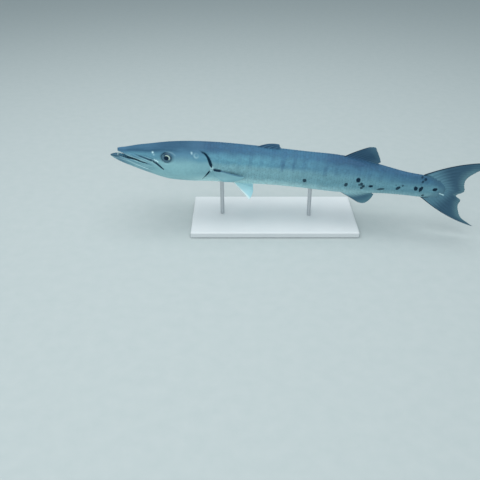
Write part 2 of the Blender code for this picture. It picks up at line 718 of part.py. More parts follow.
def tooth(s, q, z, length, radius, up, random):
    """One pointed tooth that stands up or down, with its root sunk in the jaw."""
    low = np.array(place(s, q, z - up * TOOTH_SINK))
    lean = 0.10 * length * random.uniform(0.5, 1.5)
    high = np.array(place(s + lean / STANDARD_LENGTH, q * (1 - 0.06), z + up * length))
    axis = Vector(high - low)
    mesh = bpy.data.meshes.new("tooth")
    sheet = bmesh.new()
    bmesh.ops.create_cone(sheet, cap_ends=True, segments=TOOTH_SIDES, radius1=radius, radius2=radius * 0.12,
                          depth=axis.length)
    sheet.to_mesh(mesh)
    sheet.free()
    solid = bpy.data.objects.new("tooth", mesh)
    turn = Vector((0.0, 0.0, 1.0)).rotation_difference(axis)
    middle = Vector((low + high) / 2)
    solid.matrix_world = Matrix.Translation(middle) @ turn.to_matrix().to_4x4()
    bpy.context.scene.collection.objects.link(solid)
    return solid


def gape(s):
    """Height of the open mouth at s."""
    return float(along(UPPER_LIP, s) - along(LOWER_LIP, s))


def jaw_teeth(upper):
    """The teeth of one jaw, a row on each side with larger ones in front."""
    random = np.random.default_rng(SEED + int(upper))
    pitch = TOOTH_PITCH / STANDARD_LENGTH
    lip = UPPER_LIP if upper else LOWER_LIP
    up = -1 if upper else 1
    hollow = PALATE_RISE if upper else MOUTH_FLOOR_DROP
    lift = -up * hollow * (1 - TOOTH_INSET ** 2)
    teeth = []
    start = TOOTH_FIRST + (0.5 * pitch if upper else 0.0)
    for side in (-1, 1):
        for s in np.arange(start, TOOTH_LAST, pitch):
            s = float(s)
            length = min(TOOTH_MAX, 0.78 * gape(s)) * random.uniform(0.82, 1.0)
            height = float(along(lip, s))
            q = side * TOOTH_INSET * float(side_width(s, height))
            teeth.append(tooth(s, q, height + lift, length, TOOTH_RADIUS, up, random))
        for s, share, length in (UPPER_FANGS if upper else LOWER_FANGS):
            rounded = roundness(s, 0.0, SNOUT_ROUND) if upper else roundness(s, CHIN_TIP, CHIN_ROUND)
            height = float(along(lip, s)) - up * FANG_ROOT_SINK
            q = side * share * float(side_width(s, height)) * rounded
            teeth.append(tooth(s, q, height, length, FANG_RADIUS, up, random))
    return teeth


def make_stand():
    """A flat base with two short rods up to the belly."""
    bpy.ops.mesh.primitive_cube_add(size=1.0, location=(0.0, 0.0, BASE_THICKNESS / 2))
    base = bpy.context.object
    base.name = "stand_base"
    base.scale = (BASE_LENGTH, BASE_WIDTH, BASE_THICKNESS)
    bpy.ops.object.transform_apply(location=False, rotation=False, scale=True)
    edge = base.modifiers.new("edge", "BEVEL")
    edge.width = BASE_BEVEL
    edge.segments = 3
    base.data.materials.append(material("stand_base", STAND_BASE))
    move_to_parts(base)
    for name, s in ROD_STATIONS.items():
        foot = place(s, 0.0, station(BOTTOM, s))
        high = float(foot[2]) - GAP
        low = BASE_THICKNESS + GAP
        middle = (float(foot[0]), float(foot[1]), (low + high) / 2)
        bpy.ops.mesh.primitive_cylinder_add(vertices=24, radius=ROD_RADIUS, depth=high - low, location=middle)
        rod = bpy.context.object
        rod.name = name
        rod.data.materials.append(material(name, STAND_METAL))
        move_to_parts(rod)


def move_to_parts(item):
    """Put an object in the model's collection only."""
    for owner in list(item.users_collection):
        owner.objects.unlink(item)
    PARTS.objects.link(item)


clear_scene()
PARTS = bpy.data.collections.new("barracuda")
bpy.context.scene.collection.children.link(PARTS)

head = make_head()
combine(head, jaw_teeth(True), "UNION")
combine(head, head_cutters(), "DIFFERENCE")
lower_jaw = make_lower_jaw()
combine(lower_jaw, jaw_teeth(False), "UNION")
make_torso()
make_tail_stem()
make_median_fins()
for side, word in ((-1, "left"), (1, "right")):
    make_eye(side, "eye_" + word)
    make_pectoral(side, "pectoral_fin_" + word)
    make_pelvic(side, "pelvic_fin_" + word)
make_stand()
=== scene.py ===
"""Looks of a still, life-size great barracuda held over a plain display stand.

Metres, +Z up, the head towards -X and the fish's left side towards -Y. Shapes are worked out
in body coordinates (s, q, z): s is the share of the standard length from the snout's tip,
q runs across with + on the fish's right side, and z runs up from the spine.
"""

import math

import bpy
import numpy as np
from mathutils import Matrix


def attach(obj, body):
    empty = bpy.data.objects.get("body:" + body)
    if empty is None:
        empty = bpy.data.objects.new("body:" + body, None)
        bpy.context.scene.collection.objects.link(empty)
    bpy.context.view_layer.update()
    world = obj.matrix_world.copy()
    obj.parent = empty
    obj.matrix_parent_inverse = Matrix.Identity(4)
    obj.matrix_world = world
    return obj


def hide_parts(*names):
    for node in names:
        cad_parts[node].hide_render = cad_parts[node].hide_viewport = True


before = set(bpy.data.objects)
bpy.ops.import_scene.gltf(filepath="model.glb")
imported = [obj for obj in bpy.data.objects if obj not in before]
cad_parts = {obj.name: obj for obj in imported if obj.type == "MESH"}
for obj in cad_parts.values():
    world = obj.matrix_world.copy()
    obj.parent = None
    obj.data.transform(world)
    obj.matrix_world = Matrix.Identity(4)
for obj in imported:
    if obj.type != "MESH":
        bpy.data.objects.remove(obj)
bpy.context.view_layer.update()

# Size and pose, as the solids have them
STANDARD_LENGTH = 0.94
SPINE_HEIGHT = 0.176
HEAD_UP = math.radians(3.5)
HEAD_YAW = math.radians(1.0)
TAIL_BEND = math.radians(15.0)
BEND_START = 0.35
BEND_END = 1.05
SEED = 41

# Camera: the spine's middle is seen at this pixel of a 480 by 480 picture
PICTURE_SIDE = 480
BODY_MIDDLE_PIXEL = (274.6, 166.6)
VIEW_DISTANCE = 1.975
VIEW_ELEVATION = math.radians(23.0)
FIELD_OF_VIEW = math.radians(40.0)
SENSOR_WIDTH = 36.0

# Body stations: share of length, top, bottom, half width, squareness above and below
STATIONS = np.array([
    (-0.023, 0.0185, 0.0022, 0.0085, 2.0, 2.0),
    (0.000, 0.0285, -0.0100, 0.0115, 2.2, 2.0),
    (0.025, 0.0327, -0.0198, 0.0150, 2.5, 2.1),
    (0.060, 0.0397, -0.0312, 0.0198, 2.9, 2.1),
    (0.100, 0.0464, -0.0430, 0.0252, 3.0, 2.1),
    (0.160, 0.0552, -0.0580, 0.0330, 2.9, 2.1),
    (0.220, 0.0606, -0.0602, 0.0405, 2.5, 2.2),
    (0.300, 0.0624, -0.0562, 0.0465, 2.3, 2.2),
    (0.400, 0.0604, -0.0560, 0.0488, 2.2, 2.2),
    (0.500, 0.0565, -0.0547, 0.0482, 2.2, 2.2),
    (0.600, 0.0538, -0.0566, 0.0460, 2.2, 2.2),
    (0.700, 0.0536, -0.0584, 0.0425, 2.2, 2.2),
    (0.780, 0.0478, -0.0532, 0.0365, 2.2, 2.2),
    (0.850, 0.0374, -0.0446, 0.0295, 2.2, 2.2),
    (0.920, 0.0297, -0.0404, 0.0215, 2.2, 2.2),
    (0.970, 0.0299, -0.0389, 0.0158, 2.2, 2.2),
    (1.040, 0.0345, -0.0381, 0.0100, 2.2, 2.2),
])
TOP, BOTTOM, HALF_WIDTH, UPPER_POWER, LOWER_POWER = 1, 2, 3, 4, 5

# Mouth
UPPER_LIP = np.array([(0.0, 0.0192), (0.010, 0.0194), (0.020, 0.0168), (0.030, 0.0122),
                      (0.042, 0.0088), (0.056, 0.0058), (0.080, -0.0012), (0.106, -0.0080)])
LOWER_LIP = np.array([(-0.023, 0.0062), (-0.010, 0.0088), (0.0, 0.0086), (0.012, 0.0067),
                      (0.024, 0.0045), (0.036, 0.0028), (0.056, 0.0012), (0.080, -0.0045),
                      (0.106, -0.0080)])
CORNER = 0.106
SNOUT_ROUND = 0.022
CHIN_TIP = -0.0225
CHIN_ROUND = 0.028
PALATE_RISE = 0.0040
MOUTH_FLOOR_DROP = 0.0050
LIP_ROLL = 0.0009
LIP_SWELL = 0.0004

# Rear edge of the gill cover: height on the side, share of length
GILL_EDGE = np.array([(-0.060, 0.2530), (-0.048, 0.2650), (-0.0424, 0.2712), (-0.0340, 0.2776),
                      (-0.0262, 0.2831), (-0.0186, 0.2877), (-0.0127, 0.2907), (-0.0085, 0.2933),
                      (0.002, 0.3014), (0.0050, 0.2992), (0.0104, 0.2951), (0.0167, 0.2928),
                      (0.0249, 0.2891), (0.0326, 0.2849), (0.0381, 0.2798), (0.0426, 0.2730),
                      (0.0445, 0.2670), (0.0470, 0.2610), (0.062, 0.2560)])
# Width of the open gap behind that edge, by height
GILL_GAP = np.array([(-0.050, 0.0002), (-0.0424, 0.0006), (-0.034, 0.0018), (-0.0262, 0.0032),
                     (-0.0186, 0.0042), (-0.0127, 0.0040), (-0.0085, 0.0014), (0.0005, 0.0010),
                     (0.0046, 0.0030), (0.0104, 0.0062), (0.0249, 0.0060), (0.0326, 0.0054),
                     (0.0381, 0.0056), (0.0426, 0.0060), (0.0445, 0.0030), (0.0460, 0.0006),
                     (0.052, 0.0002)])
GILL_BLEND_START = 0.19
SHOULDER_END = 0.345
FLAP_RISE = 0.0012
SHOULDER_DIP = 0.0018
# Slot under that edge: shift along as a share of length, share of the gap, drop in metres
GILL_SLOT = np.array([(-0.0004, 0.0, 0.0), (0.0003, 0.0, -0.0004), (0.0004, 0.0, -0.0012),
                      (-0.0006, 0.0, -0.0022), (-0.0040, 0.0, -0.0030), (-0.0042, 0.0, -0.0046),
                      (-0.0008, 0.10, -0.0056), (0.0, 0.55, -0.0050), (0.0, 0.92, -0.0028)])
GILL_SLOT_STEP = 0.0002

# Lines of the head's side, as (share of length, height)
MAXILLA_TOP = np.array([(0.030, 0.0225), (0.0587, 0.0178), (0.080, 0.0132), (0.108, 0.0086),
                        (0.1244, 0.0013), (0.1361, -0.0090), (0.150, -0.0197), (0.157, -0.0245),
                        (0.163, -0.0300)])
MAXILLA_EDGE_LINE = ((0.040, 0.0212), (0.0587, 0.0178), (0.080, 0.0132), (0.108, 0.0086), (0.1244, 0.0013),
                     (0.1361, -0.0090), (0.150, -0.0197), (0.157, -0.0245), (0.158, -0.0310),
                     (0.152, -0.0352), (0.142, -0.0325), (0.126, -0.0225), (0.114, -0.0135), (0.106, -0.0082))
PREOPERCLE_LINE = ((0.232, 0.0370), (0.2405, 0.0280), (0.2450, 0.0140), (0.2445, -0.0040),
                   (0.2405, -0.0180), (0.2320, -0.0300), (0.2180, -0.0395), (0.1990, -0.0450),
                   (0.1780, -0.0475))
CHEEK_RIDGE_LINE = ((0.2150, 0.0260), (0.2215, 0.0130), (0.2225, -0.0030), (0.2170, -0.0180),
                    (0.2040, -0.0290), (0.1850, -0.0355))
SUBOPERCLE_LINE = ((0.2440, -0.0060), (0.2600, -0.0120), (0.2780, -0.0180), (0.2890, -0.0200))
UNDER_EYE_LINE = ((0.1130, 0.0190), (0.1230, 0.0080), (0.1400, -0.0005), (0.1600, -0.0030),
                  (0.1800, 0.0010), (0.1900, 0.0090))
BROW_LINE = ((0.0900, 0.0335), (0.1150, 0.0382), (0.1350, 0.0415), (0.1550, 0.0432),
             (0.1750, 0.0435), (0.2000, 0.0428))
SNOUT_LINE = ((0.0300, 0.0262), (0.0600, 0.0285), (0.0850, 0.0300), (0.1080, 0.0318))
DENTARY_LINE = ((0.0020, -0.0030), (0.0300, -0.0115), (0.0600, -0.0195), (0.0900, -0.0280),
                (0.1200, -0.0370), (0.1480, -0.0450))
JAW_JOINT_LINE = ((0.1520, -0.0350), (0.1640, -0.0405), (0.1780, -0.0475))
LATERAL_LINE = np.array([(0.262, 0.0430), (0.300, 0.0350), (0.360, 0.0250), (0.440, 0.0165),
                         (0.550, 0.0095), (0.700, 0.0045), (0.850, -0.0005), (1.000, -0.0040)])
GULAR_LINE = ((0.2560, 0.0220), (0.2200, 0.0145), (0.1800, 0.0085), (0.1350, 0.0045), (0.060, 0.0020))

# Relief along those lines: line, height (a groove is below 0), width
LINE_RELIEF = ((MAXILLA_EDGE_LINE, -0.0010, 0.0013), (PREOPERCLE_LINE, -0.0008, 0.0016),
               (CHEEK_RIDGE_LINE, 0.0006, 0.0030), (SUBOPERCLE_LINE, -0.0005, 0.0014),
               (UNDER_EYE_LINE, 0.0006, 0.0028), (BROW_LINE, 0.0011, 0.0036), (SNOUT_LINE, -0.0005, 0.0020),
               (DENTARY_LINE, -0.0006, 0.0022), (JAW_JOINT_LINE, -0.0007, 0.0014))
# Depth and width of the groove under the chin and of the hollow along the crown
GULAR_RELIEF = (0.0010, 0.0018)
CROWN_HOLLOW = (0.0022, 0.0120)
MAXILLA_RISE = 0.0012
MAXILLA_LOW_EDGE = ((0.106, -0.0084), (0.126, -0.0225), (0.152, -0.0352))
LATERAL_RISE = 0.0004
EYE_SOCKET_DEPTH = 0.0045

# Dark and pale lines of the head, as drawn on it: painted shade in its creases, grooves, slits and mouth, and
# painted highlights and pale streaks
MOUTH_FRONT = 0.004
MOUTH_SHADE = 0.55
GAPE_CREASE = ((0.0600, 0.0032), (0.0700, 0.0008), (0.0840, -0.0030), (0.0940, -0.0050))
MAXILLA_SHADE = ((0.0560, 0.0190), (0.0700, 0.0158), (0.0820, 0.0126), (0.0960, 0.0096), (0.1060, 0.0072),
                 (0.1140, 0.0046), (0.1210, 0.0014), (0.1280, -0.0026), (0.1347, -0.0074), (0.1420, -0.0130),
                 (0.1500, -0.0192))
# Half width and darkness of that shade by share of length
MAXILLA_SHADE_HALF = ((0.060, 0.0011), (0.100, 0.0014), (0.118, 0.0021), (0.140, 0.0021), (0.152, 0.0010))
MAXILLA_SHADE_DARK = ((0.055, 0.0), (0.075, 0.75), (0.118, 1.0))
MAXILLA_GLINT = ((0.1196, 0.0088), (0.1250, 0.0072), (0.1300, 0.0046), (0.1345, 0.0012))
GILL_SHADE = ((0.2690, 0.0446), (0.2756, 0.0426), (0.2823, 0.0381), (0.2878, 0.0326), (0.2926, 0.0249),
              (0.2965, 0.0167), (0.2987, 0.0104), (0.3008, 0.0046))
GILL_SHADE_LOW = ((0.2944, -0.0095), (0.2930, -0.0127), (0.2900, -0.0186), (0.2848, -0.0262),
                  (0.2785, -0.0340), (0.2730, -0.0410))
# Half width of those two lines by height
GILL_SHADE_HALF = ((-0.042, 0.0005), (-0.034, 0.0009), (-0.026, 0.0016), (-0.0186, 0.0022), (-0.0127, 0.0020),
                   (-0.009, 0.0010), (0.004, 0.0012), (0.0104, 0.0034), (0.0167, 0.0034), (0.0249, 0.0030),
                   (0.0326, 0.0024), (0.0426, 0.0019), (0.0450, 0.0010))
BELLY_SHADE = ((0.3300, -0.0440), (0.3600, -0.0465), (0.4190, -0.0515))
JAW_STREAK = ((0.0000, 0.0018), (0.0374, -0.0056), (0.0545, -0.0120), (0.0720, -0.0176),
              (0.0870, -0.0222), (0.0992, -0.0250))
ORBIT_SHADE = ((0.1395, 0.0190), (0.1430, 0.0280), (0.1520, 0.0325), (0.1610, 0.0330))
ORBIT_ARC = ((0.1577, 0.0342), (0.1668, 0.0357), (0.1750, 0.0349), (0.1808, 0.0315), (0.1857, 0.0285))

# Painted highlights and pale spots of the head: share of length, height, radius, strength
PALE_AND_HIGHLIGHT_SPOTS = ((0.1147, 0.0301, 0.0026, 1.0), (0.1183, 0.0238, 0.0026, 0.35), (0.2370, 0.0404, 0.0024, 0.70),
              (0.2374, 0.0378, 0.0022, 0.45), (0.3030, 0.0012, 0.0036, 1.0), (0.2995, -0.0060, 0.0030, 0.6),
              (0.0870, -0.0222, 0.0026, 0.8))
# Painted highlights: a broken ring on the gill cover, as share of length, height, radius, and a glint at the
# tail fin's root
SPOT_RING = (0.2519, 0.0340, 0.0060)
TAIL_GLINT = ((1.0210, -0.0184), (1.0330, -0.0213))

# Painted shade: black at the pectoral fin's root, and a dark line along its upper edge
AXIL = (0.3192, -0.0045, 0.0118, 0.0038, -0.09)
PECTORAL_SHADE = ((0.3220, -0.0052), (0.3450, -0.0080), (0.3700, -0.0114), (0.4000, -0.0148))
PECTORAL_SHADE_HALF = ((0.325, 0.0009), (0.345, 0.0014), (0.365, 0.0026), (0.385, 0.0024), (0.405, 0.0008))

# Tail root
STEM_BLEND_START = 0.95
TAIL_ROOT_REAR = 1.034
TAIL_ROOT_MIDDLE = -0.0050
TAIL_ROOT_HALF_HEIGHT = 0.0360
TAIL_ROOT_CURVE = 0.052
TAIL_ROOT_HALF_WIDTH = 0.0030
TAIL_LEAD_SHARE = 0.04
TAIL_LEAD_LENGTH = 0.0160

# Eyes
EYE_STATION = 0.1590
EYE_LEVEL = 0.0182
EYE_RADIUS = 0.0153
EYE_FORWARD = math.radians(7.0)
EYE_RINGS = 26
EYE_SIDES = 64
EYE_RIM = -0.0013
EYE_BULGE = 0.0033
# Rings behind the eye's rim: share of the radius, height over the rim's plane
EYE_BACK = np.array([(0.97, -0.0035), (0.90, -0.0085), (0.0, -0.0095)])

# Skin grid: rows on a side, rings along the body, crowding of the jaws' rings towards the front
UPPER_ROWS = 58
LOWER_ROWS = 44
ROOF_POINTS = 16
UPPER_JAW_RINGS = 58
UPPER_CROWDING = 1.25
LOWER_JAW_RINGS = 70
LOWER_CROWDING = 1.15
CHEEK_RINGS = 75
COVER_RINGS = 61
SHOULDER_RINGS = 26
SHOULDER_CROWDING = 1.25
FLANK_RINGS = 142
STEM_RINGS = 24
SKIN_INSET = 0.0004
JAW_JOIN_ANGLE = math.radians(100.0)


def smooth_step(value):
    """3 x^2 - 2 x^3 on 0 to 1, held at 0 below and at 1 above."""
    value = np.clip(value, 0.0, 1.0)
    return value * value * (3.0 - 2.0 * value)


def smooth_curve(knots, values, at):
    """Cubic through the knots, each with the slope that its two neighbours give it."""
    slopes = np.gradient(values, knots)
    at = np.clip(at, knots[0], knots[-1])
    left = np.clip(np.searchsorted(knots, at, side="right") - 1, 0, len(knots) - 2)
    width = knots[left + 1] - knots[left]
    t = (at - knots[left]) / width
    start = (1 + 2 * t) * (1 - t) ** 2 * values[left] + t * (1 - t) ** 2 * width * slopes[left]
    end = t * t * (3 - 2 * t) * values[left + 1] - t * t * (1 - t) * width * slopes[left + 1]
    return start + end


def along(table, at):
    """Second column of a two-column table, read smoothly at the first."""
    return smooth_curve(table[:, 0], table[:, 1], at)


def straight(table, at):
    """Second column of a two-column table, read in straight runs at the first."""
    return np.interp(at, *np.array(table).T)


def station(column, s):
    """One column of the body stations at s."""
    return smooth_curve(STATIONS[:, 0], STATIONS[:, column], s)


def spine_table():
    """Running sum of the heading's cosine and sine along the spine, zero at its middle."""
    share = np.linspace(-0.06, 1.30, 1361)
    heading = HEAD_YAW + TAIL_BEND * smooth_step((share - BEND_START) / (BEND_END - BEND_START))
    step = (share[1] - share[0]) * STANDARD_LENGTH
    x = np.concatenate([[0.0], np.cumsum(np.cos(heading[1:]) + np.cos(heading[:-1])) * step / 2])
    y = np.concatenate([[0.0], -np.cumsum(np.sin(heading[1:]) + np.sin(heading[:-1])) * step / 2])
    return share, x - np.interp(0.5, share, x), y - np.interp(0.5, share, y), heading


SPINE = spine_table()


def place(s, q, z):
    """Body coordinates to metres: across the spine's heading, then turned head-up, then raised."""
    s, q, z = np.broadcast_arrays(np.asarray(s, float), np.asarray(q, float), np.asarray(z, float))
    share, spine_x, spine_y, spine_heading = SPINE
    heading = np.interp(s, share, spine_heading)
    x = np.interp(s, share, spine_x) + q * np.sin(heading)
    y = np.interp(s, share, spine_y) + q * np.cos(heading)
    forward = x * math.cos(HEAD_UP) + z * math.sin(HEAD_UP)
    height = z * math.cos(HEAD_UP) - x * math.sin(HEAD_UP) + SPINE_HEIGHT
    return np.stack([forward, y, height], axis=-1)


def outline(s, phi):
    """Superellipse of the body at s: half width times sin^(2/n), half height times cos^(2/n)."""
    top = station(TOP, s)
    bottom = station(BOTTOM, s)
    middle = (top + bottom) / 2
    power = np.where(np.cos(phi) > 0, station(UPPER_POWER, s), station(LOWER_POWER, s))
    q = station(HALF_WIDTH, s) * np.abs(np.sin(phi)) ** (2 / power)
    z = middle + (top - middle) * np.sign(np.cos(phi)) * np.abs(np.cos(phi)) ** (2 / power)
    return q, z


def angle_at(s, height):
    """Angle down from the top at which the outline passes a height."""
    top = station(TOP, s)
    bottom = station(BOTTOM, s)
    middle = (top + bottom) / 2
    reach = np.clip((height - middle) / (top - middle), -1.0, 1.0)
    power = np.where(reach > 0, station(UPPER_POWER, s), station(LOWER_POWER, s))
    return np.arccos(np.sign(reach) * np.abs(reach) ** (power / 2))


def side_width(s, height):
    """Half width of the body at s and at a height."""
    return outline(s, angle_at(s, height))[0]


def gill_station(phi):
    """Share of length of the gill cover's rear edge for each angle round the body."""
    return along(GILL_EDGE, outline(0.28, phi)[1])


def gill_gap(phi):
    """Width in metres of the open gap behind the gill cover for each angle round the body."""
    return np.maximum(along(GILL_GAP, outline(0.28, phi)[1]), 0.0002)


def gill_weight(phi):
    """1 on the sides, where the gill cover is free, and 0 at the nape and the belly."""
    return smooth_step((np.sin(phi) - 0.66) / 0.12)


def line_distance(s, height, line):
    """Distance in metres of each point from a chain of straight runs through a line's points."""
    points = np.array(line) * (STANDARD_LENGTH, 1.0)
    x = np.asarray(s) * STANDARD_LENGTH
    least = np.full(np.broadcast(x, height).shape, 1.0)
    for (x0, z0), (x1, z1) in zip(points[:-1], points[1:]):
        run = np.array([x1 - x0, z1 - z0])
        t = np.clip(((x - x0) * run[0] + (height - z0) * run[1]) / (run @ run), 0.0, 1.0)
        least = np.minimum(least, np.hypot(x - x0 - t * run[0], height - z0 - t * run[1]))
    return least


def bell(distance, width):
    """exp(-(distance / width)^2)."""
    return np.exp(-(distance / width) ** 2)


def head_relief(s, q, z):
    """Height over the plain outline: a smooth-stepped plate, and bells round each line and the crown."""
    length = smooth_step((s - 0.02) / 0.03) * smooth_step((0.160 - s) / 0.006)
    plate = smooth_step((along(MAXILLA_TOP, s) - z) / 0.0024 + 0.5)
    plate = plate * smooth_step((z - straight(MAXILLA_LOW_EDGE, s)) / 0.0016 + 0.5)
    rise = MAXILLA_RISE * plate * length
    for line, height, width in LINE_RELIEF:
        rise = rise + height * bell(line_distance(s, z, line), width)
    depth, width = GULAR_RELIEF
    under = smooth_step((-0.030 - z) / 0.010) + smooth_step((0.06 - s) / 0.03) * (z < -0.005)
    rise = rise - depth * bell(line_distance(s, q, GULAR_LINE), width) * np.clip(under, 0.0, 1.0)
    depth, width = CROWN_HOLLOW
    crown = smooth_step((s - 0.07) / 0.04) * smooth_step((0.26 - s) / 0.06) * (z > 0.02)
    return rise - depth * bell(q, width) * crown


def body_relief(s, phi, z):
    """The gill cover's raised edge, the dip behind it and the lateral line's low ridge."""
    edge = gill_station(phi)
    weight = gill_weight(phi)
    before = smooth_step((s - edge + 0.050) / 0.050) * (s <= edge)
    behind = smooth_step((edge + 0.030 - s) / 0.030) * (s > edge)
    line = smooth_step((s - edge - 0.004) / 0.02) * bell(z - along(LATERAL_LINE, s), 0.0011)
    return FLAP_RISE * weight * before - SHOULDER_DIP * weight * behind + LATERAL_RISE * line


def band(distance, half):
    """1 within a half width of a line and 0 beyond 1.6 of them, as a smooth step."""
    return smooth_step((1.6 - distance / half) / 0.6)


def axil_field(s, z):
    """Painted shade, a black oval at the pectoral fin's root: a smooth step round its slanted rim."""
    at, height, half_length, half_height, slant = AXIL
    x = (s - at) * STANDARD_LENGTH
    return smooth_step((1.25 - np.hypot(x / half_length, (z - height - slant * x) / half_height)) / 0.40)


def shade_field(s, z):
    """Painted shade of each point, darkest in the head's creases and grooves, the gill slit and the pectoral
    fin's root: bands along its lines and an oval round the eye.
    """
    groove = band(line_distance(s, z, MAXILLA_SHADE), straight(MAXILLA_SHADE_HALF, s))
    groove = groove * straight(MAXILLA_SHADE_DARK, s)
    crease = 0.42 * bell(line_distance(s, z, GAPE_CREASE), 0.0010) * smooth_step((0.098 - s) / 0.03)
    oval = np.hypot((s - EYE_STATION - 0.0006) * STANDARD_LENGTH / 0.0200, (z - EYE_LEVEL) / 0.0150)
    orbit = 0.34 * smooth_step((1.30 - oval) / 0.50)
    lash = 0.60 * bell(line_distance(s, z, ORBIT_SHADE), 0.0018)
    half = straight(GILL_SHADE_HALF, z)
    gill = band(line_distance(s, z, GILL_SHADE), half) * np.interp(z, (0.030, 0.045), (1.0, 0.60))
    gill = np.maximum(gill, band(line_distance(s, z, GILL_SHADE_LOW), half))
    chin = 0.66 * bell(z - along(LOWER_LIP, s) + 0.0008, 0.0042) * smooth_step((0.014 - s) / 0.012)
    belly = 0.20 * bell(line_distance(s, z, BELLY_SHADE), 0.0035)
    return np.max([groove, crease, orbit, lash, gill, chin, belly, axil_field(s, z)], axis=0)


def gleam_field(s, z):
    """How pale each point is painted: painted highlights and glints of the head and the tail, with pale
    streaks: bells round each.
    """
    streak = 0.20 + 0.45 * smooth_step((s - 0.03) / 0.05)
    lip = 0.40 * bell(z - along(UPPER_LIP, s) - 0.0022, 0.0014) * smooth_step((s - 0.02) / 0.02)
    at, height, ring = SPOT_RING
    behind = (s - at) * STANDARD_LENGTH
    above = z - height
    lit = 0.18 + 0.13 * np.cos(np.arctan2(above, behind) + 2.2)
    gleams = [band(line_distance(s, z, MAXILLA_GLINT), 0.0011),
              streak * bell(line_distance(s, z, JAW_STREAK), 0.0018),
              0.13 * bell(line_distance(s, z, ORBIT_ARC), 0.0022),
              bell(line_distance(s, z, TAIL_GLINT), 0.0014),
              lip * smooth_step((CORNER - s) / 0.03),
              lit * bell(np.hypot(behind, above) - ring, 0.0021)]
    for at, height, radius, strength in PALE_AND_HIGHLIGHT_SPOTS:
        away = np.hypot((s - at) * STANDARD_LENGTH, z - height)
        gleams.append(strength * bell(away, radius))
    return np.max(gleams, axis=0)


def eye_distance(s, z):
    """Distance in metres from the eye's centre, measured along the head's side."""
    return np.hypot((s - EYE_STATION) * STANDARD_LENGTH, z - EYE_LEVEL)


def body_surface(s, phi, lift=0.0):
    """Half width and height of the skin: the outline moved out by its relief and by lift."""
    q, z = outline(s, phi)
    middle = (station(TOP, s) + station(BOTTOM, s)) / 2
    out_q = q / station(HALF_WIDTH, s) ** 2
    out_z = (z - middle) / (station(TOP, s) - middle) ** 2
    size = np.maximum(np.hypot(out_q, out_z), 1e-9)
    rise = head_relief(s, q, z) + body_relief(s, phi, z) + lift
    rise = rise - EYE_SOCKET_DEPTH * smooth_step((EYE_RADIUS + 0.0012 - eye_distance(s, z)) / 0.0025)
    return q + rise * out_q / size, z + rise * out_z / size


def thin_tail(q, share):
    """Narrow the tail's end towards the thin root of the tail fin, by a smooth step of the share."""
    blend = smooth_step(share)
    thin = TAIL_ROOT_HALF_WIDTH * np.minimum(q / np.maximum(q.max(axis=-1, keepdims=True), 1e-6) * 1.6, 1.0)
    return q * (1 - blend) + thin * blend


def tail_root_station(z):
    """Parabola of the tail fin's root: furthest back at its middle height."""
    return TAIL_ROOT_REAR - TAIL_ROOT_CURVE * ((z - TAIL_ROOT_MIDDLE) / TAIL_ROOT_HALF_HEIGHT) ** 2


def roundness(s, tip, length):
    """Quarter circle that opens a rounded front end to its full width."""
    back = np.clip((s - tip) / length, 0.0, 1.0)
    return np.sqrt(1.0 - (1.0 - back) ** 2)


def grid_triangles(columns, rows, offset=0, closed=False):
    """Two triangles for each cell of a grid whose points run row by row within a column."""
    across = rows if closed else rows - 1
    i, j = np.meshgrid(np.arange(columns - 1), np.arange(across), indexing="ij")
    a = i * rows + j
    b = (i + 1) * rows + j
    c = (i + 1) * rows + (j + 1) % rows
    d = i * rows + (j + 1) % rows
    cells = np.stack([a, b, c, a, c, d], axis=-1).reshape(-1, 3)
    return cells + offset


def welded(points, triangles, kinds):
    """Merge points that lie within a micrometre and drop the triangles that vanish."""
    key = np.round(points * 1e6).astype(np.int64)
    _, first, merged = np.unique(key, axis=0, return_index=True, return_inverse=True)
    triangles = merged.reshape(-1)[triangles]
    a, b, c = triangles.T
    whole = (a != b) & (b != c) & (c != a)
    return first, triangles[whole], kinds[whole]


def new_object(name, data):
    """Object of this data, put in the scene."""
    made = bpy.data.objects.new(name, data)
    bpy.context.scene.collection.objects.link(made)
    return made


def make_mesh(name, points, triangles, kinds=None, fields=None, corner_map=None):
    """Mesh object from arrays, smooth shaded, with point attributes and an OFBake map if given."""
    mesh = bpy.data.meshes.new(name)
    mesh.vertices.add(len(points))
    mesh.vertices.foreach_set("co", np.ascontiguousarray(points, dtype=np.float32).ravel())
    mesh.loops.add(3 * len(triangles))
    mesh.loops.foreach_set("vertex_index", np.ascontiguousarray(triangles, dtype=np.int32).ravel())
    mesh.polygons.add(len(triangles))
    mesh.polygons.foreach_set("loop_start", np.arange(0, 3 * len(triangles), 3, dtype=np.int32))
    mesh.update(calc_edges=True)
    if kinds is not None:
        mesh.polygons.foreach_set("material_index", kinds.astype(np.int32))
    for field, values in (fields or {}).items():
        flat = values.ndim == 1
        layer = mesh.attributes.new(field, "FLOAT" if flat else "FLOAT_VECTOR", "POINT")
        layer.data.foreach_set("value" if flat else "vector", values.astype(np.float32).ravel())
    if corner_map is not None:
        layer = mesh.uv_layers.new(name="OFBake")
        layer.data.foreach_set("uv", corner_map[triangles.ravel()].astype(np.float32).ravel())
    mesh.shade_smooth()
    made = new_object(name, mesh)
    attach(made, "root")
    return made


def outward(points, triangles):
    """The triangles, all turned round if the volume that they enclose comes out negative."""
    a, b, c = (points[triangles[:, k]] for k in range(3))
    volume = np.einsum("ij,ij->i", a, np.cross(b, c)).sum()
    return triangles if volume > 0 else triangles[:, ::-1]


def row_angles(s):
    """Angles of the skin's rows from top to belly at s behind the mouth's corner."""
    start = angle_at(CORNER, along(UPPER_LIP, CORNER))
    blend = smooth_step((s - CORNER) / (GILL_BLEND_START - CORNER))
    join = start + (JAW_JOIN_ANGLE - start) * blend
    upper = np.arange(UPPER_ROWS + 1) / UPPER_ROWS
    lower = np.arange(1, LOWER_ROWS + 1) / LOWER_ROWS
    join = np.asarray(join)[..., None]
    return np.concatenate([join * upper, join + (math.pi - join) * lower], axis=-1)


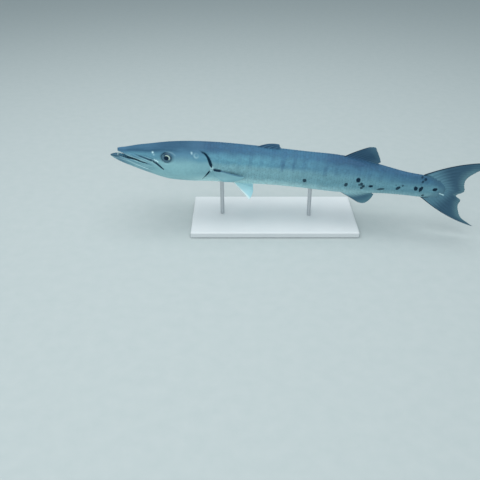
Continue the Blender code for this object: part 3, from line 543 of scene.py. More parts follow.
def both_sides(s, q, z):
    """Near side from top to belly, then the far side back up, as one closed ring of body points."""
    ring_s = np.concatenate([s, s[:, -2:0:-1]], axis=1)
    ring_q = np.concatenate([-q, q[:, -2:0:-1]], axis=1)
    ring_z = np.concatenate([z, z[:, -2:0:-1]], axis=1)
    return np.stack([ring_s, ring_q, ring_z], axis=-1)


def jaw_columns(stations, lip, upper):
    """Rings of one jaw: the side from the midline to the lip, then the roof or floor between lips."""
    count = UPPER_ROWS if upper else LOWER_ROWS
    height = along(lip, stations)
    limit = angle_at(stations, height)
    share = np.arange(count + 1) / count
    start = 0.0 if upper else math.pi
    phi = start + (limit[:, None] - start) * share
    s = np.repeat(stations[:, None], count + 1, axis=1)
    q, z = body_surface(s, phi, -SKIN_INSET)
    near_lip = smooth_step((share - 1.0 + 2.2 / count) * count / 2.2)
    tip, length = (0.0, SNOUT_ROUND) if upper else (CHIN_TIP, CHIN_ROUND)
    opening = roundness(stations, tip, length)
    fade = smooth_step((CORNER - stations) / 0.012)
    q = q * opening[:, None] - LIP_ROLL * (near_lip * fade[:, None] * opening[:, None])
    z = z + (1 if upper else -1) * LIP_SWELL * near_lip * fade[:, None]
    q[:, 0] = 0.0
    across = np.linspace(1.0, 0.0, ROOF_POINTS + 1)[1:]
    depth = PALATE_RISE if upper else -MOUTH_FLOOR_DROP
    depth = depth * smooth_step((CORNER - stations) / 0.02) * opening
    roof_q = q[:, -1:] * across
    profile = (1 - across ** 2) ** 0.7
    roof_z = z[:, -1:] + depth[:, None] * profile
    s = np.concatenate([s, np.repeat(stations[:, None], ROOF_POINTS, axis=1)], axis=1)
    return both_sides(s, np.concatenate([q, roof_q], axis=1), np.concatenate([z, roof_z], axis=1))


def skin_rings(s, phi, lift, share=None):
    """Closed rings of the skin moved out by lift, narrowed to the tail fin's root by a share."""
    q, z = body_surface(s, phi, lift - SKIN_INSET)
    if share is not None:
        q = thin_tail(q, share)
    q[:, 0] = 0.0
    q[:, -1] = 0.0
    return both_sides(s, q, z)


def gill_slot_rings(phi, edge, gap, weight):
    """Rings that fold in under the gill cover's edge and out again, and the painted shade of each point in
    that slot.
    """
    count = len(GILL_SLOT)
    shift, of_gap, drop = (GILL_SLOT[:, k:k + 1] for k in range(3))
    s = edge + (shift * weight + of_gap * gap + GILL_SLOT_STEP * np.arange(count)[:, None] * (1 - weight))
    q, z = body_surface(np.minimum(s, edge - 0.0001), phi.repeat(count, axis=0), drop * weight - SKIN_INSET)
    q[:, 0] = 0.0
    q[:, -1] = 0.0
    deep = np.repeat(smooth_step((gap * STANDARD_LENGTH - 0.0006) / 0.0010), count, axis=0)
    deep[0] = 0.0
    return both_sides(s, q, z), np.concatenate([deep, deep[:, -2:0:-1]], axis=1)


def trunk_columns():
    """Rings from the mouth's corner to the tail fin's root, with a slot under the gill cover's edge."""
    cheek = np.linspace(CORNER, GILL_BLEND_START, CHEEK_RINGS + 1)[:-1]
    cheek_phi = row_angles(cheek)
    phi = row_angles(GILL_BLEND_START)[None, :]
    rows = phi.shape[1]
    edge = gill_station(phi)
    weight = gill_weight(phi)
    gap = gill_gap(phi) / STANDARD_LENGTH
    cover = np.linspace(0.0, 1.0, COVER_RINGS + 1)[:-1, None]
    cover_s = GILL_BLEND_START + (edge - 0.0004 - GILL_BLEND_START) * cover
    slot, slot_shade = gill_slot_rings(phi, edge, gap, weight)
    share = (np.arange(1, SHOULDER_RINGS + 1) / SHOULDER_RINGS)[:, None] ** SHOULDER_CROWDING
    start = edge + gap + 0.0004 + 0.0014 * (1 - weight)
    shoulder_s = start + (SHOULDER_END - start) * share
    dip = -0.0010 * weight * smooth_step((0.25 - share) / 0.25)
    flank = np.linspace(SHOULDER_END, STEM_BLEND_START, FLANK_RINGS + 2)[1:-1]
    stem = np.linspace(0.0, 1.0, STEM_RINGS)[:, None]
    stem_s = STEM_BLEND_START + (tail_root_station(outline(1.0, phi)[1]) - STEM_BLEND_START) * stem
    runs = [skin_rings(np.repeat(cheek[:, None], rows, axis=1), cheek_phi, 0.0),
            skin_rings(cover_s, phi.repeat(COVER_RINGS, axis=0), 0.0),
            slot,
            skin_rings(shoulder_s, phi.repeat(SHOULDER_RINGS, axis=0), dip),
            skin_rings(np.repeat(flank[:, None], rows, axis=1), phi.repeat(FLANK_RINGS, axis=0), 0.0),
            skin_rings(stem_s, phi.repeat(STEM_RINGS, axis=0), 0.0, stem)]
    shades = [slot_shade if run is slot else np.zeros(run.shape[:2]) for run in runs]
    return np.concatenate(runs), np.concatenate(shades)


def body_fields(points):
    """Point attributes for the markings: body place, and height as a share from belly to back."""
    s, _, z = points.T
    low = station(BOTTOM, s)
    return {"body": points, "level": (z - low) / (station(TOP, s) - low)}


def surface_fields(points):
    """Point attributes of skin and scales: the body's own, with the painted shade and painted highlights of
    the head's lines.
    """
    s, _, z = points.T
    return {**body_fields(points), "shade": shade_field(s, z), "gleam": gleam_field(s, z)}


def ring_faces(block, outer, offset):
    """Triangles of a run of rings, with 1 for each that lies between a jaw's lips and 0 for the rest."""
    columns, rows = block.shape[:2]
    faces = grid_triangles(columns, rows, offset, closed=True)
    if outer is None:
        return faces, np.zeros(len(faces), int)
    row = np.tile(np.repeat(np.arange(rows), 2), columns - 1)
    behind = block[np.repeat(np.arange(columns - 1), 2 * rows), 0, 0] > MOUTH_FRONT
    return faces, ((row >= outer) & (row < rows - outer) & behind).astype(int)


def mouth_shade(block, outer):
    """Painted shade of each point of a jaw: half dark between its lips, not at all outside them."""
    columns, rows = block.shape[:2]
    row = np.arange(rows)
    return np.tile(MOUTH_SHADE * ((row > outer) & (row < rows - outer)), columns)


def tail_cap(ring_start, count):
    """Triangles that close the last ring, from its near half straight across to its far half."""
    side = np.arange(1, count // 2)
    near = ring_start + side
    far = ring_start + count - side
    strip = np.concatenate([np.stack([near[:-1], near[1:], far[1:]], axis=1),
                            np.stack([near[:-1], far[1:], far[:-1]], axis=1),
                            [[ring_start, ring_start + 1, ring_start + count - 1]],
                            [[near[-1], ring_start + count // 2, far[-1]]]])
    return strip[:, ::-1]


def make_skin(materials):
    """One closed skin: both jaws, joined to the trunk at the mouth's corner and to each other there."""
    upper_s = CORNER * np.linspace(0.0, 1.0, UPPER_JAW_RINGS) ** UPPER_CROWDING
    lower_s = CHIN_TIP + (CORNER - CHIN_TIP) * np.linspace(0.0, 1.0, LOWER_JAW_RINGS) ** LOWER_CROWDING
    upper = jaw_columns(upper_s, UPPER_LIP, True)
    lower = jaw_columns(lower_s, LOWER_LIP, False)
    trunk, slots = trunk_columns()
    points, triangles, kinds, offset = [], [], [], 0
    for block, outer in ((upper, UPPER_ROWS), (lower, LOWER_ROWS), (trunk, None)):
        faces, inside = ring_faces(block, outer, offset)
        points.append(block.reshape(-1, 3))
        triangles.append(faces[:, ::-1] if block is lower else faces)
        kinds.append(inside)
        offset += len(points[-1])
    cap = tail_cap(offset - trunk.shape[1], trunk.shape[1])
    points = np.concatenate(points)
    triangles = np.concatenate(triangles + [cap])
    kinds = np.concatenate(kinds + [np.zeros(len(cap), int)])
    # Painted shade of the mouth between the lips and of the gill slot
    dark = [mouth_shade(upper, UPPER_ROWS), mouth_shade(lower, LOWER_ROWS), slots.ravel()]
    world = place(*points.T)
    first, triangles, kinds = welded(world, triangles, kinds)
    world = world[first]
    fields = surface_fields(points[first])
    fields["shade"] = np.maximum(fields["shade"], np.concatenate(dark)[first])
    skin = make_mesh("skin", world, outward(world, triangles), kinds, fields)
    for material in materials:
        skin.data.materials.append(material)
    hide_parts("head", "lower_jaw", "torso", "tail_stem")


def eye_frame(side):
    """Centre of the eye on the head's side, with its directions outwards, rearwards and up."""
    width = float(side_width(EYE_STATION, EYE_LEVEL))
    centre = place(EYE_STATION, side * width, EYE_LEVEL)
    ahead = place(EYE_STATION - 0.01, side * width, EYE_LEVEL) - centre
    out = place(EYE_STATION, side * (width + 0.01), EYE_LEVEL) - centre
    ahead = ahead / np.linalg.norm(ahead)
    out = out / np.linalg.norm(out) * math.cos(EYE_FORWARD) + ahead * math.sin(EYE_FORWARD)
    out = out / np.linalg.norm(out)
    rear = -ahead + out * (ahead @ out)
    rear = rear / np.linalg.norm(rear)
    up = np.cross(rear, out) * (1 if side < 0 else -1)
    return centre, out, rear, up * np.sign(up[2])


def make_eye(side, name, material):
    """Eyeball front: r = R sin a and height = bulge cos^1.2 a over its rim, closed at its back."""
    centre, out, rear, up = eye_frame(side)
    bend = np.linspace(0.0, math.pi / 2, EYE_RINGS)
    radius = np.concatenate([EYE_RADIUS * 0.985 * np.sin(bend), EYE_RADIUS * EYE_BACK[:, 0]])
    height = np.concatenate([EYE_RIM + EYE_BULGE * np.cos(bend) ** 1.2, EYE_BACK[:, 1]])
    angle = np.linspace(0.0, 2 * math.pi, EYE_SIDES, endpoint=False)
    flat = radius[:, None, None] * (np.cos(angle)[None, :, None] * rear + np.sin(angle)[None, :, None] * up)
    points = (centre + flat + height[:, None, None] * out).reshape(-1, 3)
    share = radius[:, None] / EYE_RADIUS
    rearwards = share * np.cos(angle)
    look = np.stack([rearwards, share * np.sin(angle), np.zeros_like(rearwards)], axis=-1).reshape(-1, 3)
    triangles = grid_triangles(len(radius), EYE_SIDES, closed=True)
    first, triangles, _ = welded(points, triangles, np.zeros(len(triangles), int))
    points = points[first]
    eye = make_mesh(name, points, outward(points - centre, triangles), fields={"eye": look[first]})
    eye.data.materials.append(material)
    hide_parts(name)


# Rows of teeth: count on a side, first and last place, inset from the lip, longest, radius
UPPER_TEETH = ((2, 0.0070, 0.0150, 0.76, 0.0092, 0.0014),
               (7, 0.0290, 0.0780, 0.60, 0.0044, 0.0009),
               (18, 0.0200, 0.0860, 0.86, 0.0014, 0.0005))
LOWER_TEETH = ((1, 0.0018, 0.0018, 0.50, 0.0080, 0.0015),
               (9, 0.0160, 0.0760, 0.66, 0.0030, 0.0008))
TOOTH_SIDES = 8
TOOTH_RINGS = 6
TOOTH_BOW = 0.10
TOOTH_FLATNESS = 0.68
TOOTH_SINK = 0.0008
TOOTH_JITTER = 0.0006


def tooth_points(roots, tips, radius):
    """Pointed teeth: circles of radius r (1 - t^1.4), flattened by a third, the axis bowed forwards."""
    t = np.linspace(0.0, 1.0, TOOTH_RINGS)
    angle = np.linspace(0.0, 2 * math.pi, TOOTH_SIDES, endpoint=False)
    axis = tips - roots
    length = np.linalg.norm(axis, axis=1, keepdims=True)
    along_axis = axis / length
    lead = np.array([1.0, 0.0, 0.0]) - along_axis * along_axis[:, :1]
    lead = lead / np.linalg.norm(lead, axis=1, keepdims=True)
    across = np.cross(along_axis, lead)
    centre = roots[:, None, :] + axis[:, None, :] * t[None, :, None]
    bow = TOOTH_BOW * length[:, None, :] * (4 * t * (1 - t))[None, :, None]
    centre = centre - lead[:, None, :] * bow
    wide = (radius[:, None] * (1 - t ** 1.4))[:, :, None, None]
    ring = (lead[:, None, None, :] * np.cos(angle)[:, None]
            + across[:, None, None, :] * (TOOTH_FLATNESS * np.sin(angle))[:, None])
    return (centre[:, :, None, :] + wide * ring).reshape(len(roots), -1, 3)


def make_teeth(name, upper, material):
    """Both rows of one jaw and its front fangs, longer in front, rooted in the lip's inner edge."""
    random = np.random.default_rng(SEED + int(upper))
    lip, rows, way = (UPPER_LIP, UPPER_TEETH, -1.0) if upper else (LOWER_LIP, LOWER_TEETH, 1.0)
    tip, length = (0.0, SNOUT_ROUND) if upper else (CHIN_TIP, CHIN_ROUND)
    roots, tips, radii = [], [], []
    for count, begin, finish, inset, longest, radius in rows:
        s = np.linspace(begin, finish, count) + random.uniform(-TOOTH_JITTER, TOOTH_JITTER, count)
        height = along(lip, s)
        reach = side_width(s, height) * roundness(s, tip, length) * inset
        gap = along(UPPER_LIP, s) - along(LOWER_LIP, s)
        size = np.minimum(longest, 0.55 * gap + 0.0022 * (inset < 0.8))
        size = np.where(s < 0.012, longest, size) * random.uniform(0.70, 1.0, count)
        for side in (-1, 1):
            roots.append(place(s, side * reach, height - way * TOOTH_SINK))
            back = s + 0.10 * size / STANDARD_LENGTH
            tips.append(place(back, side * (reach - 0.08 * size), height + way * size))
            radii.append(np.full(count, radius) * random.uniform(0.85, 1.1, count))
    points = tooth_points(np.concatenate(roots), np.concatenate(tips), np.concatenate(radii))
    total, each = points.shape[:2]
    base = [[0, k, k + 1] for k in range(1, TOOTH_SIDES - 1)]
    one = np.concatenate([grid_triangles(TOOTH_RINGS, TOOTH_SIDES, closed=True), base])
    triangles = (one[None] + each * np.arange(total)[:, None, None]).reshape(-1, 3)
    points = points.reshape(-1, 3)
    first, triangles, _ = welded(points, triangles, np.zeros(len(triangles), int))
    points = points[first]
    teeth = make_mesh(name, points, outward(points - points.mean(axis=0), triangles))
    teeth.data.materials.append(material)


# Tip lines of the midline fins, as (share across, s, z)
FIRST_DORSAL_TIPS = np.array([(0.0, 0.5080, 0.0718), (0.3, 0.5098, 0.0697), (0.6, 0.5108, 0.0657),
                              (1.0, 0.5145, 0.0604)])
SECOND_DORSAL_TIPS = np.array([(0.0, 0.7860, 0.0908), (0.1, 0.8020, 0.0928), (0.3, 0.8115, 0.0830),
                               (0.55, 0.8190, 0.0695), (0.8, 0.8258, 0.0560), (1.0, 0.8278, 0.0490)])
ANAL_TIPS = np.array([(0.0, 0.7780, -0.0882), (0.15, 0.7910, -0.0892), (0.45, 0.8092, -0.0793),
                      (0.75, 0.8182, -0.0662), (1.0, 0.8222, -0.0545)])
TAIL_TIPS = np.array([(0.0, 1.158, 0.099), (0.06, 1.136, 0.081), (0.13, 1.111, 0.061),
                      (0.20, 1.0955, 0.047), (0.27, 1.0876, 0.0345), (0.35, 1.0868, 0.0190),
                      (0.43, 1.0905, -0.0015), (0.50, 1.0706, -0.0170), (0.57, 1.0857, -0.0290),
                      (0.65, 1.0824, -0.0450), (0.75, 1.0868, -0.0630), (0.86, 1.1016, -0.0850),
                      (0.94, 1.124, -0.097), (1.0, 1.143, -0.106)])
# Tip lines of the paired fins: share across and s, then z, or q and z
PECTORAL_TIPS = np.array([(0.0, 0.409, -0.015), (0.3, 0.394, -0.027), (0.7, 0.362, -0.038),
                          (1.0, 0.340, -0.040)])
PELVIC_TIPS = np.array([(0.0, 0.427, 0.030, -0.1005), (0.3, 0.433, 0.026, -0.090),
                        (0.65, 0.437, 0.019, -0.077), (1.0, 0.436, 0.012, -0.067)])
# Root lines of the paired fins: start and run over the fin's width, of s and z, or of s and q
PECTORAL_ROOT = ((0.3088, 0.0030), (-0.0020, -0.0230))
PELVIC_ROOT = ((0.372, 0.019), (0.0150, -0.0040))
# The pectoral fin's stand off the flank at its root, and how much more at its tip
PECTORAL_STAND = (-0.0012, 0.0128)
PECTORAL_RAYS = 13
PELVIC_RAYS = 6
RAY_POINTS = 8
ROOT_SINK = 0.0015
# Half thickness of the fins at the root, at the tip, and added by the flare at the root
MIDLINE_TIP_HALF = 0.00034
MIDLINE_FLARE = 0.0012
PAIRED_ROOT_HALF = 0.0014
PAIRED_TIP_HALF = 0.00032
PECTORAL_FLARE = 0.0016
PELVIC_FLARE = 0.0012
THINNEST_HALF = 0.00022
TIP_NICK = 0.018
FIRST_DORSAL_BOW = 0.0055
SECOND_DORSAL_BOW = 0.0020
TAIL_BOW = 0.011
RIPPLE = 0.0012


def crest(x):
    """|cos(pi x)|^3: 1 on each ray and 0 half way between two."""
    return np.abs(np.cos(math.pi * x)) ** 3


def between(root, tip, share):
    """Points on straight runs from a root line to a tip line, at a share of the way."""
    return root[:, None] + (tip - root)[:, None] * share


def tip_line(tips, u):
    """The columns after the first of a table of tips, each read smoothly at u."""
    return [smooth_curve(tips[:, 0], column, u) for column in tips.T[1:]]


def ray_relief(u, v, rays, branch_from):
    """Ray ridges over a fin, which split in two beyond a share of their length."""
    x = u[:, None] * (rays - 1)
    split = smooth_step((v[None, :] - branch_from) / 0.25)
    forked = np.abs(np.cos(2 * math.pi * (x - 0.25))) ** 2.2
    return crest(x) * (1 - split) + forked * split * 0.85


def vane(name, middle, half, fields, material, nodes):
    """Closed fin: a grid of points moved out by half along its normal to both faces, with a rim."""
    normal = np.cross(np.gradient(middle, axis=0), np.gradient(middle, axis=1))
    normal /= np.maximum(np.linalg.norm(normal, axis=-1, keepdims=True), 1e-12)
    offset = normal * half[..., None]
    columns, rows = middle.shape[:2]
    total = columns * rows
    points = np.concatenate([(middle + offset).reshape(-1, 3), (middle - offset).reshape(-1, 3)])
    front = grid_triangles(columns, rows)
    rim = np.concatenate([np.arange(columns) * rows,
                          (columns - 1) * rows + np.arange(1, rows),
                          np.arange(columns - 2, -1, -1) * rows + rows - 1,
                          np.arange(rows - 2, 0, -1)])
    ahead = np.roll(rim, -1)
    sides = np.concatenate([np.stack([rim, total + rim, total + ahead], axis=1),
                            np.stack([rim, total + ahead, ahead], axis=1)])
    triangles = np.concatenate([front[:, ::-1], front + total, sides[:, ::-1]])
    both = {key: np.concatenate([value, value]) for key, value in fields.items()}
    fin = make_mesh(name, points, triangles, fields=both)
    centre = points.mean(axis=0)
    flat = outward(points - centre, triangles)
    if flat[0, 0] != triangles[0, 0]:
        fin.data.flip_normals()
    fin.data.materials.append(material)
    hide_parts(*nodes)


def fin_fields(u, v, relief, s, q, z):
    """Fin attributes: share across, share out from the root and ray relief, with the body's own."""
    across = np.repeat(u[:, None], len(v), axis=1)
    out = np.repeat(v[None, :], len(u), axis=0)
    fields = body_fields(np.stack(np.broadcast_arrays(s, q, z), axis=-1).reshape(-1, 3))
    fields["fin"] = np.stack([across, out, relief], axis=-1).reshape(-1, 3)
    # Painted shade at the pectoral fin's root and along its upper edge, and the painted highlights of the
    # gleam field
    edge = band(line_distance(s, z, PECTORAL_SHADE), straight(PECTORAL_SHADE_HALF, s))
    fields["shade"] = np.maximum(axil_field(s, z), 0.26 * edge).ravel()
    fields["gleam"] = gleam_field(s, z).ravel()
    return fields


def fin_half(relief, v, root, tip, base):
    """Half thickness: tapers from root to tip as v^0.7, 0.6 of that between rays, flared at the root."""
    taper = root + (tip - root) * v ** 0.7
    flare = base * np.maximum(1 - v / 0.12, 0.0) ** 2
    return np.maximum(taper * (0.60 + 0.40 * relief), THINNEST_HALF) + flare[None, :]


def midline_fin(name, rays, tips, roots, bow, root_half, material, nodes, sway=None):
    """A fin on the midline: rays run straight from the root line to the tip line, bowed in the plane."""
    u = np.linspace(0.0, 1.0, RAY_POINTS * (rays - 1) + 1)
    v = np.linspace(0.0, 1.0, 40)
    relief = ray_relief(u, v, rays, 0.45)
    root_s, root_z = roots(u)
    tip_s, tip_z = tip_line(tips, u)
    nick = 1 - TIP_NICK * (1 - relief[:, -1])
    reach = v[None, :] * nick[:, None]
    s = between(root_s, tip_s, reach)
    z = between(root_z, tip_z, reach) + bow(u)[:, None] * 4 * v * (1 - v)
    q = np.zeros_like(s) if sway is None else sway(u[:, None], v[None, :]) + 0 * s
    half = fin_half(relief, v, root_half, MIDLINE_TIP_HALF, MIDLINE_FLARE)
    fields = fin_fields(u, v, relief, s, q, z)
    vane(name, place(s, q, z), half, fields, material, nodes)


def back_line(first, last, side):
    """Root line of a fin on the back or under the belly, sunk a little in the skin."""
    def roots(u):
        s = first + (last - first) * u
        if side > 0:
            return s, station(TOP, s) - ROOT_SINK
        return s, station(BOTTOM, s) + ROOT_SINK
    return roots


def tail_root_line(u):
    """Root line of the tail fin, sunk a little in the tail's rounded end and in its back and belly."""
    z = 0.0305 - 0.0700 * np.clip((u - TAIL_LEAD_SHARE) / (1 - 2 * TAIL_LEAD_SHARE), 0.0, 1.0)
    lead = np.clip(1 - np.minimum(u, 1 - u) / TAIL_LEAD_SHARE, 0.0, 1.0)
    return tail_root_station(z) - 2.0 * ROOT_SINK / STANDARD_LENGTH - TAIL_LEAD_LENGTH * lead, z


def front_bow(height):
    """Bow of a fin's rays: a height at its first ray that falls evenly to nothing at its last."""
    def bow(u):
        return height * (1 - u)
    return bow


def tail_bow(u):
    """Bow of the tail fin's rays: smooth steps up in the upper lobe and down in the lower one."""
    return TAIL_BOW * (smooth_step((0.35 - u) / 0.35) - smooth_step((u - 0.65) / 0.35))


def ripple(u, v):
    """Sideways wave of a fin: a sine that grows as v^2 from the root and dies out at both ends."""
    return RIPPLE * v ** 2 * np.sin(9.0 * u + 2.0 * v) * (1 - np.abs(2 * u - 1) ** 4)


def make_midline_fins(looks):
    """Both dorsal fins, the anal fin and the forked tail fin."""
    spiny, dark, dusky, tail = looks
    midline_fin("first_dorsal_fin", 5, FIRST_DORSAL_TIPS, back_line(0.437, 0.508, 1),
                front_bow(FIRST_DORSAL_BOW), 0.0014, spiny, ["first_dorsal_fin"])
    midline_fin("second_dorsal_fin", 10, SECOND_DORSAL_TIPS, back_line(0.712, 0.815, 1),
                front_bow(SECOND_DORSAL_BOW), 0.0016, dark, ["second_dorsal_fin"], ripple)
    midline_fin("anal_fin", 9, ANAL_TIPS, back_line(0.709, 0.806, -1),
                front_bow(0.0), 0.0016, dusky, ["anal_fin"], ripple)
    midline_fin("tail_fin", 18, TAIL_TIPS, tail_root_line,
                tail_bow, 0.0022, tail, ["tail_fin_upper", "tail_fin_lower"], ripple)


def make_pectoral(side, name, pale):
    """Pectoral fin: rays fan back from behind the gill cover, standing off the flank as v^1.05."""
    u = np.linspace(0.0, 1.0, RAY_POINTS * (PECTORAL_RAYS - 1) + 1)
    v = np.linspace(0.0, 1.0, 36)
    relief = ray_relief(u, v, PECTORAL_RAYS, 0.40)
    tip_s, tip_z = tip_line(PECTORAL_TIPS, u)
    root_s, root_z = (start + run * u for start, run in PECTORAL_ROOT)
    s = between(root_s, tip_s, v)
    z = between(root_z, tip_z, v)
    stand, more = PECTORAL_STAND
    q = side * (side_width(s, z) + (stand + more * v[None, :] ** 1.05))
    half = fin_half(relief, v, PAIRED_ROOT_HALF, PAIRED_TIP_HALF, PECTORAL_FLARE)
    fields = fin_fields(u, v, relief, s, q, z)
    vane(name, place(s, q, z), half, fields, pale, [name])


def belly_height(s, q):
    """Height of the belly's surface at a distance q from the midline."""
    bottom = station(BOTTOM, s)
    middle = (station(TOP, s) + bottom) / 2
    power = station(LOWER_POWER, s)
    share = np.clip(q / station(HALF_WIDTH, s), 0.0, 1.0)
    return middle + (bottom - middle) * (1 - share ** power) ** (1 / power)


def make_pelvic(side, name, pale):
    """Pelvic fin: rays fan down, back and outwards from a short root under the belly."""
    u = np.linspace(0.0, 1.0, RAY_POINTS * (PELVIC_RAYS - 1) + 1)
    v = np.linspace(0.0, 1.0, 34)
    relief = ray_relief(u, v, PELVIC_RAYS, 0.35)
    root_s, root_q = (start + run * u for start, run in PELVIC_ROOT)
    root_z = belly_height(root_s, root_q) + ROOT_SINK
    tip_s, tip_q, tip_z = tip_line(PELVIC_TIPS, u)
    s = between(root_s, tip_s, v)
    z = between(root_z, tip_z, v)
    q = side * between(root_q, tip_q, v)
    half = fin_half(relief, v, PAIRED_ROOT_HALF, PAIRED_TIP_HALF, PELVIC_FLARE)
    fields = fin_fields(u, v, relief, s, q, z)
    vane(name, place(s, q, z), half, fields, pale, [name])


# Scales: places and pitch as shares of length, rows round a side, heights in metres
SCALE_FIRST = 0.262
SCALE_LAST = 1.012
SCALE_PITCH = 0.0088
SCALE_ROWS = 24
SCALE_OVERLAP = 1.95
SCALE_REACH = 0.66
SCALE_STAND = 0.00042
SCALE_CLEARANCE = 0.00005
SCALE_JITTER = 0.0012
SCALE_ANGLE_JITTER = 0.02
BAKE_PATCH = 0.003
SCALE_ACROSS = np.array([-1.0, -0.6, 0.0, 0.6, 1.0])[:, None]
# Outwards along a scale: place, width and height, as shares of its length, reach and stand
SCALE_OUT, SCALE_WIDTH, SCALE_RISE = np.array([
    (0.0, 0.55, -0.9),
    (0.30, 0.95, -0.1),
    (0.60, 1.0, 0.55),
    (0.85, 0.86, 0.95),
    (1.0, 0.52, 1.0),
    (1.03, 0.50, -0.9),
]).T[:, None, :]


def thin_tail_at(s, phi, q):
    """The tail's narrowing, read at scattered points rather than along whole rings."""
    end = tail_root_station(outline(1.0, phi)[1])
    blend = smooth_step((s - STEM_BLEND_START) / (end - STEM_BLEND_START))
    thin = TAIL_ROOT_HALF_WIDTH * np.minimum(q / station(HALF_WIDTH, s) * 1.6, 1.0)
    return q * (1 - blend) + thin * blend


def scale_roots(random):
    """Scattered places of the scales, in staggered rows, clear of the gill cover and the tail fin."""
    column = np.arange(int((SCALE_LAST - SCALE_FIRST) / SCALE_PITCH))
    k, j = (grid.ravel() for grid in np.meshgrid(column, np.arange(SCALE_ROWS), indexing="ij"))
    pitch = math.pi / SCALE_ROWS
    s = SCALE_FIRST + SCALE_PITCH * k + random.normal(0.0, SCALE_JITTER, len(k))
    phi = pitch * (j + 0.25 + 0.5 * (k % 2)) + random.normal(0.0, SCALE_ANGLE_JITTER, len(k)) * pitch
    kept = s > gill_station(phi) + gill_gap(phi) / STANDARD_LENGTH + 0.0012
    kept &= phi < math.pi
    kept &= s < tail_root_station(outline(1.0, phi)[1]) - 0.010
    return s[kept], phi[kept]


def scale_points(root_s, phi, size):
    """Body points of every scale: a dome 1 - 0.75 a^2 across it, raised outwards to its free edge."""
    a, b = SCALE_ACROSS, SCALE_OUT
    back = np.minimum(b, 1.0) - 0.13 * a ** 2 * smooth_step((b - 0.5) / 0.5)
    reach = SCALE_REACH * math.pi / SCALE_ROWS
    room = np.where(a < 0, np.minimum(phi / reach, 1.0)[:, None, None],
                    np.minimum((math.pi - phi) / reach, 1.0)[:, None, None])
    dome = (1 - 0.75 * (a * room) ** 2) * SCALE_RISE
    s = root_s[:, None, None] + size[:, None, None] * back
    angle = phi[:, None, None] + reach * a * SCALE_WIDTH * room
    stand = SCALE_STAND * (0.30 + 0.70 * smooth_step((root_s - SCALE_FIRST) / 0.06))[:, None, None]
    q, z = body_surface(s, angle, stand * dome + SCALE_CLEARANCE - SKIN_INSET)
    return s, thin_tail_at(s, angle, q), z


def make_scales(side, name, material):
    """Overlapping scales in staggered rows: each a low dome over the skin, its free rear edge proud."""
    random = np.random.default_rng(SEED + 7 + side)
    root_s, phi = scale_roots(random)
    size = SCALE_PITCH * SCALE_OVERLAP * random.uniform(0.93, 1.05, len(root_s))
    s, q, z = scale_points(root_s, phi, size)
    body = np.stack([s, side * q, z], axis=-1).reshape(-1, 3)
    total, columns, rows = s.shape
    each = columns * rows
    one = grid_triangles(columns, rows)
    triangles = (one[None] + each * np.arange(total)[:, None, None]).reshape(-1, 3)
    triangles = triangles if side < 0 else triangles[:, ::-1]
    fields = surface_fields(body)
    tone = np.repeat(random.uniform(0.0, 1.0, total), each)
    across = np.tile((SCALE_ACROSS + 0 * SCALE_OUT).ravel(), total)
    out = np.tile((0 * SCALE_ACROSS + SCALE_OUT).ravel(), total)
    fields["scale"] = np.stack([across, out, tone], axis=-1)
    root_map = np.stack([root_s / 1.3, phi / (2 * math.pi)], axis=-1)
    if side > 0:
        root_map[:, 1] = 1 - root_map[:, 1]
    corner_map = np.repeat(root_map, each, axis=0) + np.stack([out - 0.5, across / 2], axis=-1) * BAKE_PATCH
    scales = make_mesh(name, place(*body.T), triangles, fields=fields, corner_map=corner_map)
    scales.data.materials.append(material)


# Colours, linear
BACK_COLOUR = (0.034, 0.112, 0.200)
CROWN_COLOUR = (0.034, 0.114, 0.192)
NAPE_COLOUR = (0.018, 0.077, 0.144)
FLANK_COLOUR = (0.115, 0.300, 0.400)
SIDE_COLOUR = (0.225, 0.440, 0.500)
BELLY_COLOUR = (0.520, 0.820, 0.830)
CHEEK_COLOUR = (0.282, 0.535, 0.582)
BAR_COLOUR = (0.032, 0.098, 0.195)
BLOTCH_COLOUR = (0.0, 0.018, 0.041)
REAR_TINT = (0.80, 0.86, 0.90)
JAW_TINT = (0.70, 0.76, 0.82)
# Colour of the painted shade in the head's creases, grooves and gill slit and at the pectoral fin's root
CREASE_SHADE_COLOUR = (0.0, 0.0235, 0.054)
GLEAM_COLOUR = (0.660, 0.950, 1.000)
UPPER_HEAD_COLOUR = (0.088, 0.226, 0.335)
SNOUT_COLOUR = (0.058, 0.155, 0.262)
STEM_COLOURS = ((0.092, 0.206, 0.272), (0.051, 0.138, 0.212))
MOTTLE_TINTS = ((0.82, 0.84, 0.86), (1.14, 1.12, 1.10))
MOUTH_COLOURS = ((0.045, 0.165, 0.255), (0.075, 0.215, 0.310))
MOUTH_CORNER_COLOUR = (0.190, 0.410, 0.500)
FIN_SHADE_COLOUR = (0.062, 0.170, 0.270)
IRIS_COLOURS = ((0.050, 0.120, 0.160), (0.480, 0.640, 0.580))
IRIS_STREAK_COLOUR = (0.16, 0.22, 0.22)
ORBIT_COLOURS = ((0.068, 0.150, 0.210), (0.105, 0.205, 0.270))
ORBIT_TOP_SHADE_COLOUR = (0.014, 0.040, 0.070)
BROW_SHADE_COLOUR = (0.014, 0.044, 0.076)
PUPIL_COLOUR = (0.0, 0.015, 0.038)
FANG_COLOURS = ((0.50, 0.70, 0.72), (0.72, 0.90, 0.90))
SHADED_REAR_TOOTH_COLOUR = (0.085, 0.200, 0.285)
PAINT_COLOURS = ((0.60, 0.64, 0.655), (0.68, 0.71, 0.72))
STEEL_COLOURS = ((0.50, 0.52, 0.54), (0.64, 0.66, 0.68))
FLOOR_COLOURS = ((0.40, 0.46, 0.46), (0.45, 0.50, 0.50))

